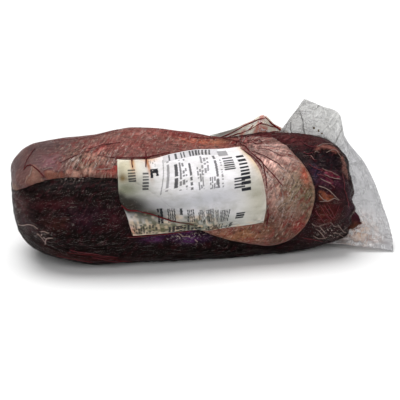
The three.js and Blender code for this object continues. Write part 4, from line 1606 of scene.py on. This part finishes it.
def make_loose_film():
    film = loose_film("flat bag end", cover=0.50, stretch=(64.0, 190.0, 1.0))
    TAIL.make("flat_bag_end", TAIL_MESH, TAIL_LENGTH, TAIL_HEIGHT, tail_colour, film)
    film = loose_film("film ear", cover=0.92, stretch=(160.0, 160.0, 1.0))
    EAR.make("film_ear", EAR_MESH, EAR_LENGTH, EAR_HEIGHT, ear_colour, film)
    blood = plain_wet("blood on the ear", srgb(132, 34, 36))
    crease = plain_wet("film crease", srgb(178, 178, 176))
    speck = plain_wet("dried speck", srgb(110, 92, 50))
    lay_ribbons("ear_blood_lines", EAR.lines(EAR_BLOOD, steps=30), blood)
    lay_ribbons("bag_end_creases", TAIL.lines(TAIL_CREASES, steps=30), crease)
    lay_ribbons("bag_end_specks", TAIL.lines(TAIL_SPECKS, steps=8), speck)


# ---- Floor, light and camera ---------------------------------------------------------------------

AZIMUTH, ELEVATION, DISTANCE = -9.0, 20.0, 1.5
TARGET = Vector((0.016, 0, 0.0505))
LENS, SENSOR = 132.35, 36  # millimetres
FLOOR_HALF_SIZE = 12
FLOOR_GREY, WORLD_GREY = (0.95, 0.95, 0.95), (0.22, 0.22, 0.22)


def make_floor():
    bm = bmesh.new()
    bmesh.ops.create_grid(bm, x_segments=1, y_segments=1, size=FLOOR_HALF_SIZE)
    material, s = new_material("white floor")
    s.plain_surface(FLOOR_GREY, Roughness=0.9)
    new_piece("floor", bm, material)


def make_camera():
    azimuth, elevation = math.radians(AZIMUTH), math.radians(ELEVATION)
    level = math.cos(elevation)
    back = Vector((math.sin(azimuth) * level, -math.cos(azimuth) * level, math.sin(elevation)))
    data = bpy.data.cameras.new("camera")
    data.lens = LENS
    data.sensor_width = SENSOR
    camera = bpy.data.objects.new("camera", data)
    camera.location = TARGET + DISTANCE * back
    camera.rotation_euler = (-back).to_track_quat("-Z", "Y").to_euler()
    bpy.context.scene.collection.objects.link(camera)
    bpy.context.scene.camera = camera


def sun(name, towards, strength, spread):
    data = bpy.data.lights.new(name, "SUN")
    data.energy = strength
    data.angle = math.radians(spread)
    light = bpy.data.objects.new(name, data)
    light.rotation_euler = Vector(towards).to_track_quat("Z", "Y").to_euler()
    bpy.context.scene.collection.objects.link(light)


def make_lights():
    world = bpy.data.worlds.new("studio")
    world.use_nodes = True
    world.node_tree.nodes["Background"].inputs["Color"].default_value = (*WORLD_GREY, 1)
    bpy.context.scene.world = world
    sun("overhead", (-0.18, 0.16, 1.0), strength=2.60, spread=50)
    sun("front", (-0.05, -0.80, 0.60), strength=1.05, spread=40)
    bpy.context.scene.view_settings.view_transform = "Standard"


make_camera()
make_lights()
make_floor()
make_dark_blade()
make_pale_blade()
make_meat_tip()
make_label()
make_film()
make_bag_lines()
make_loose_film()
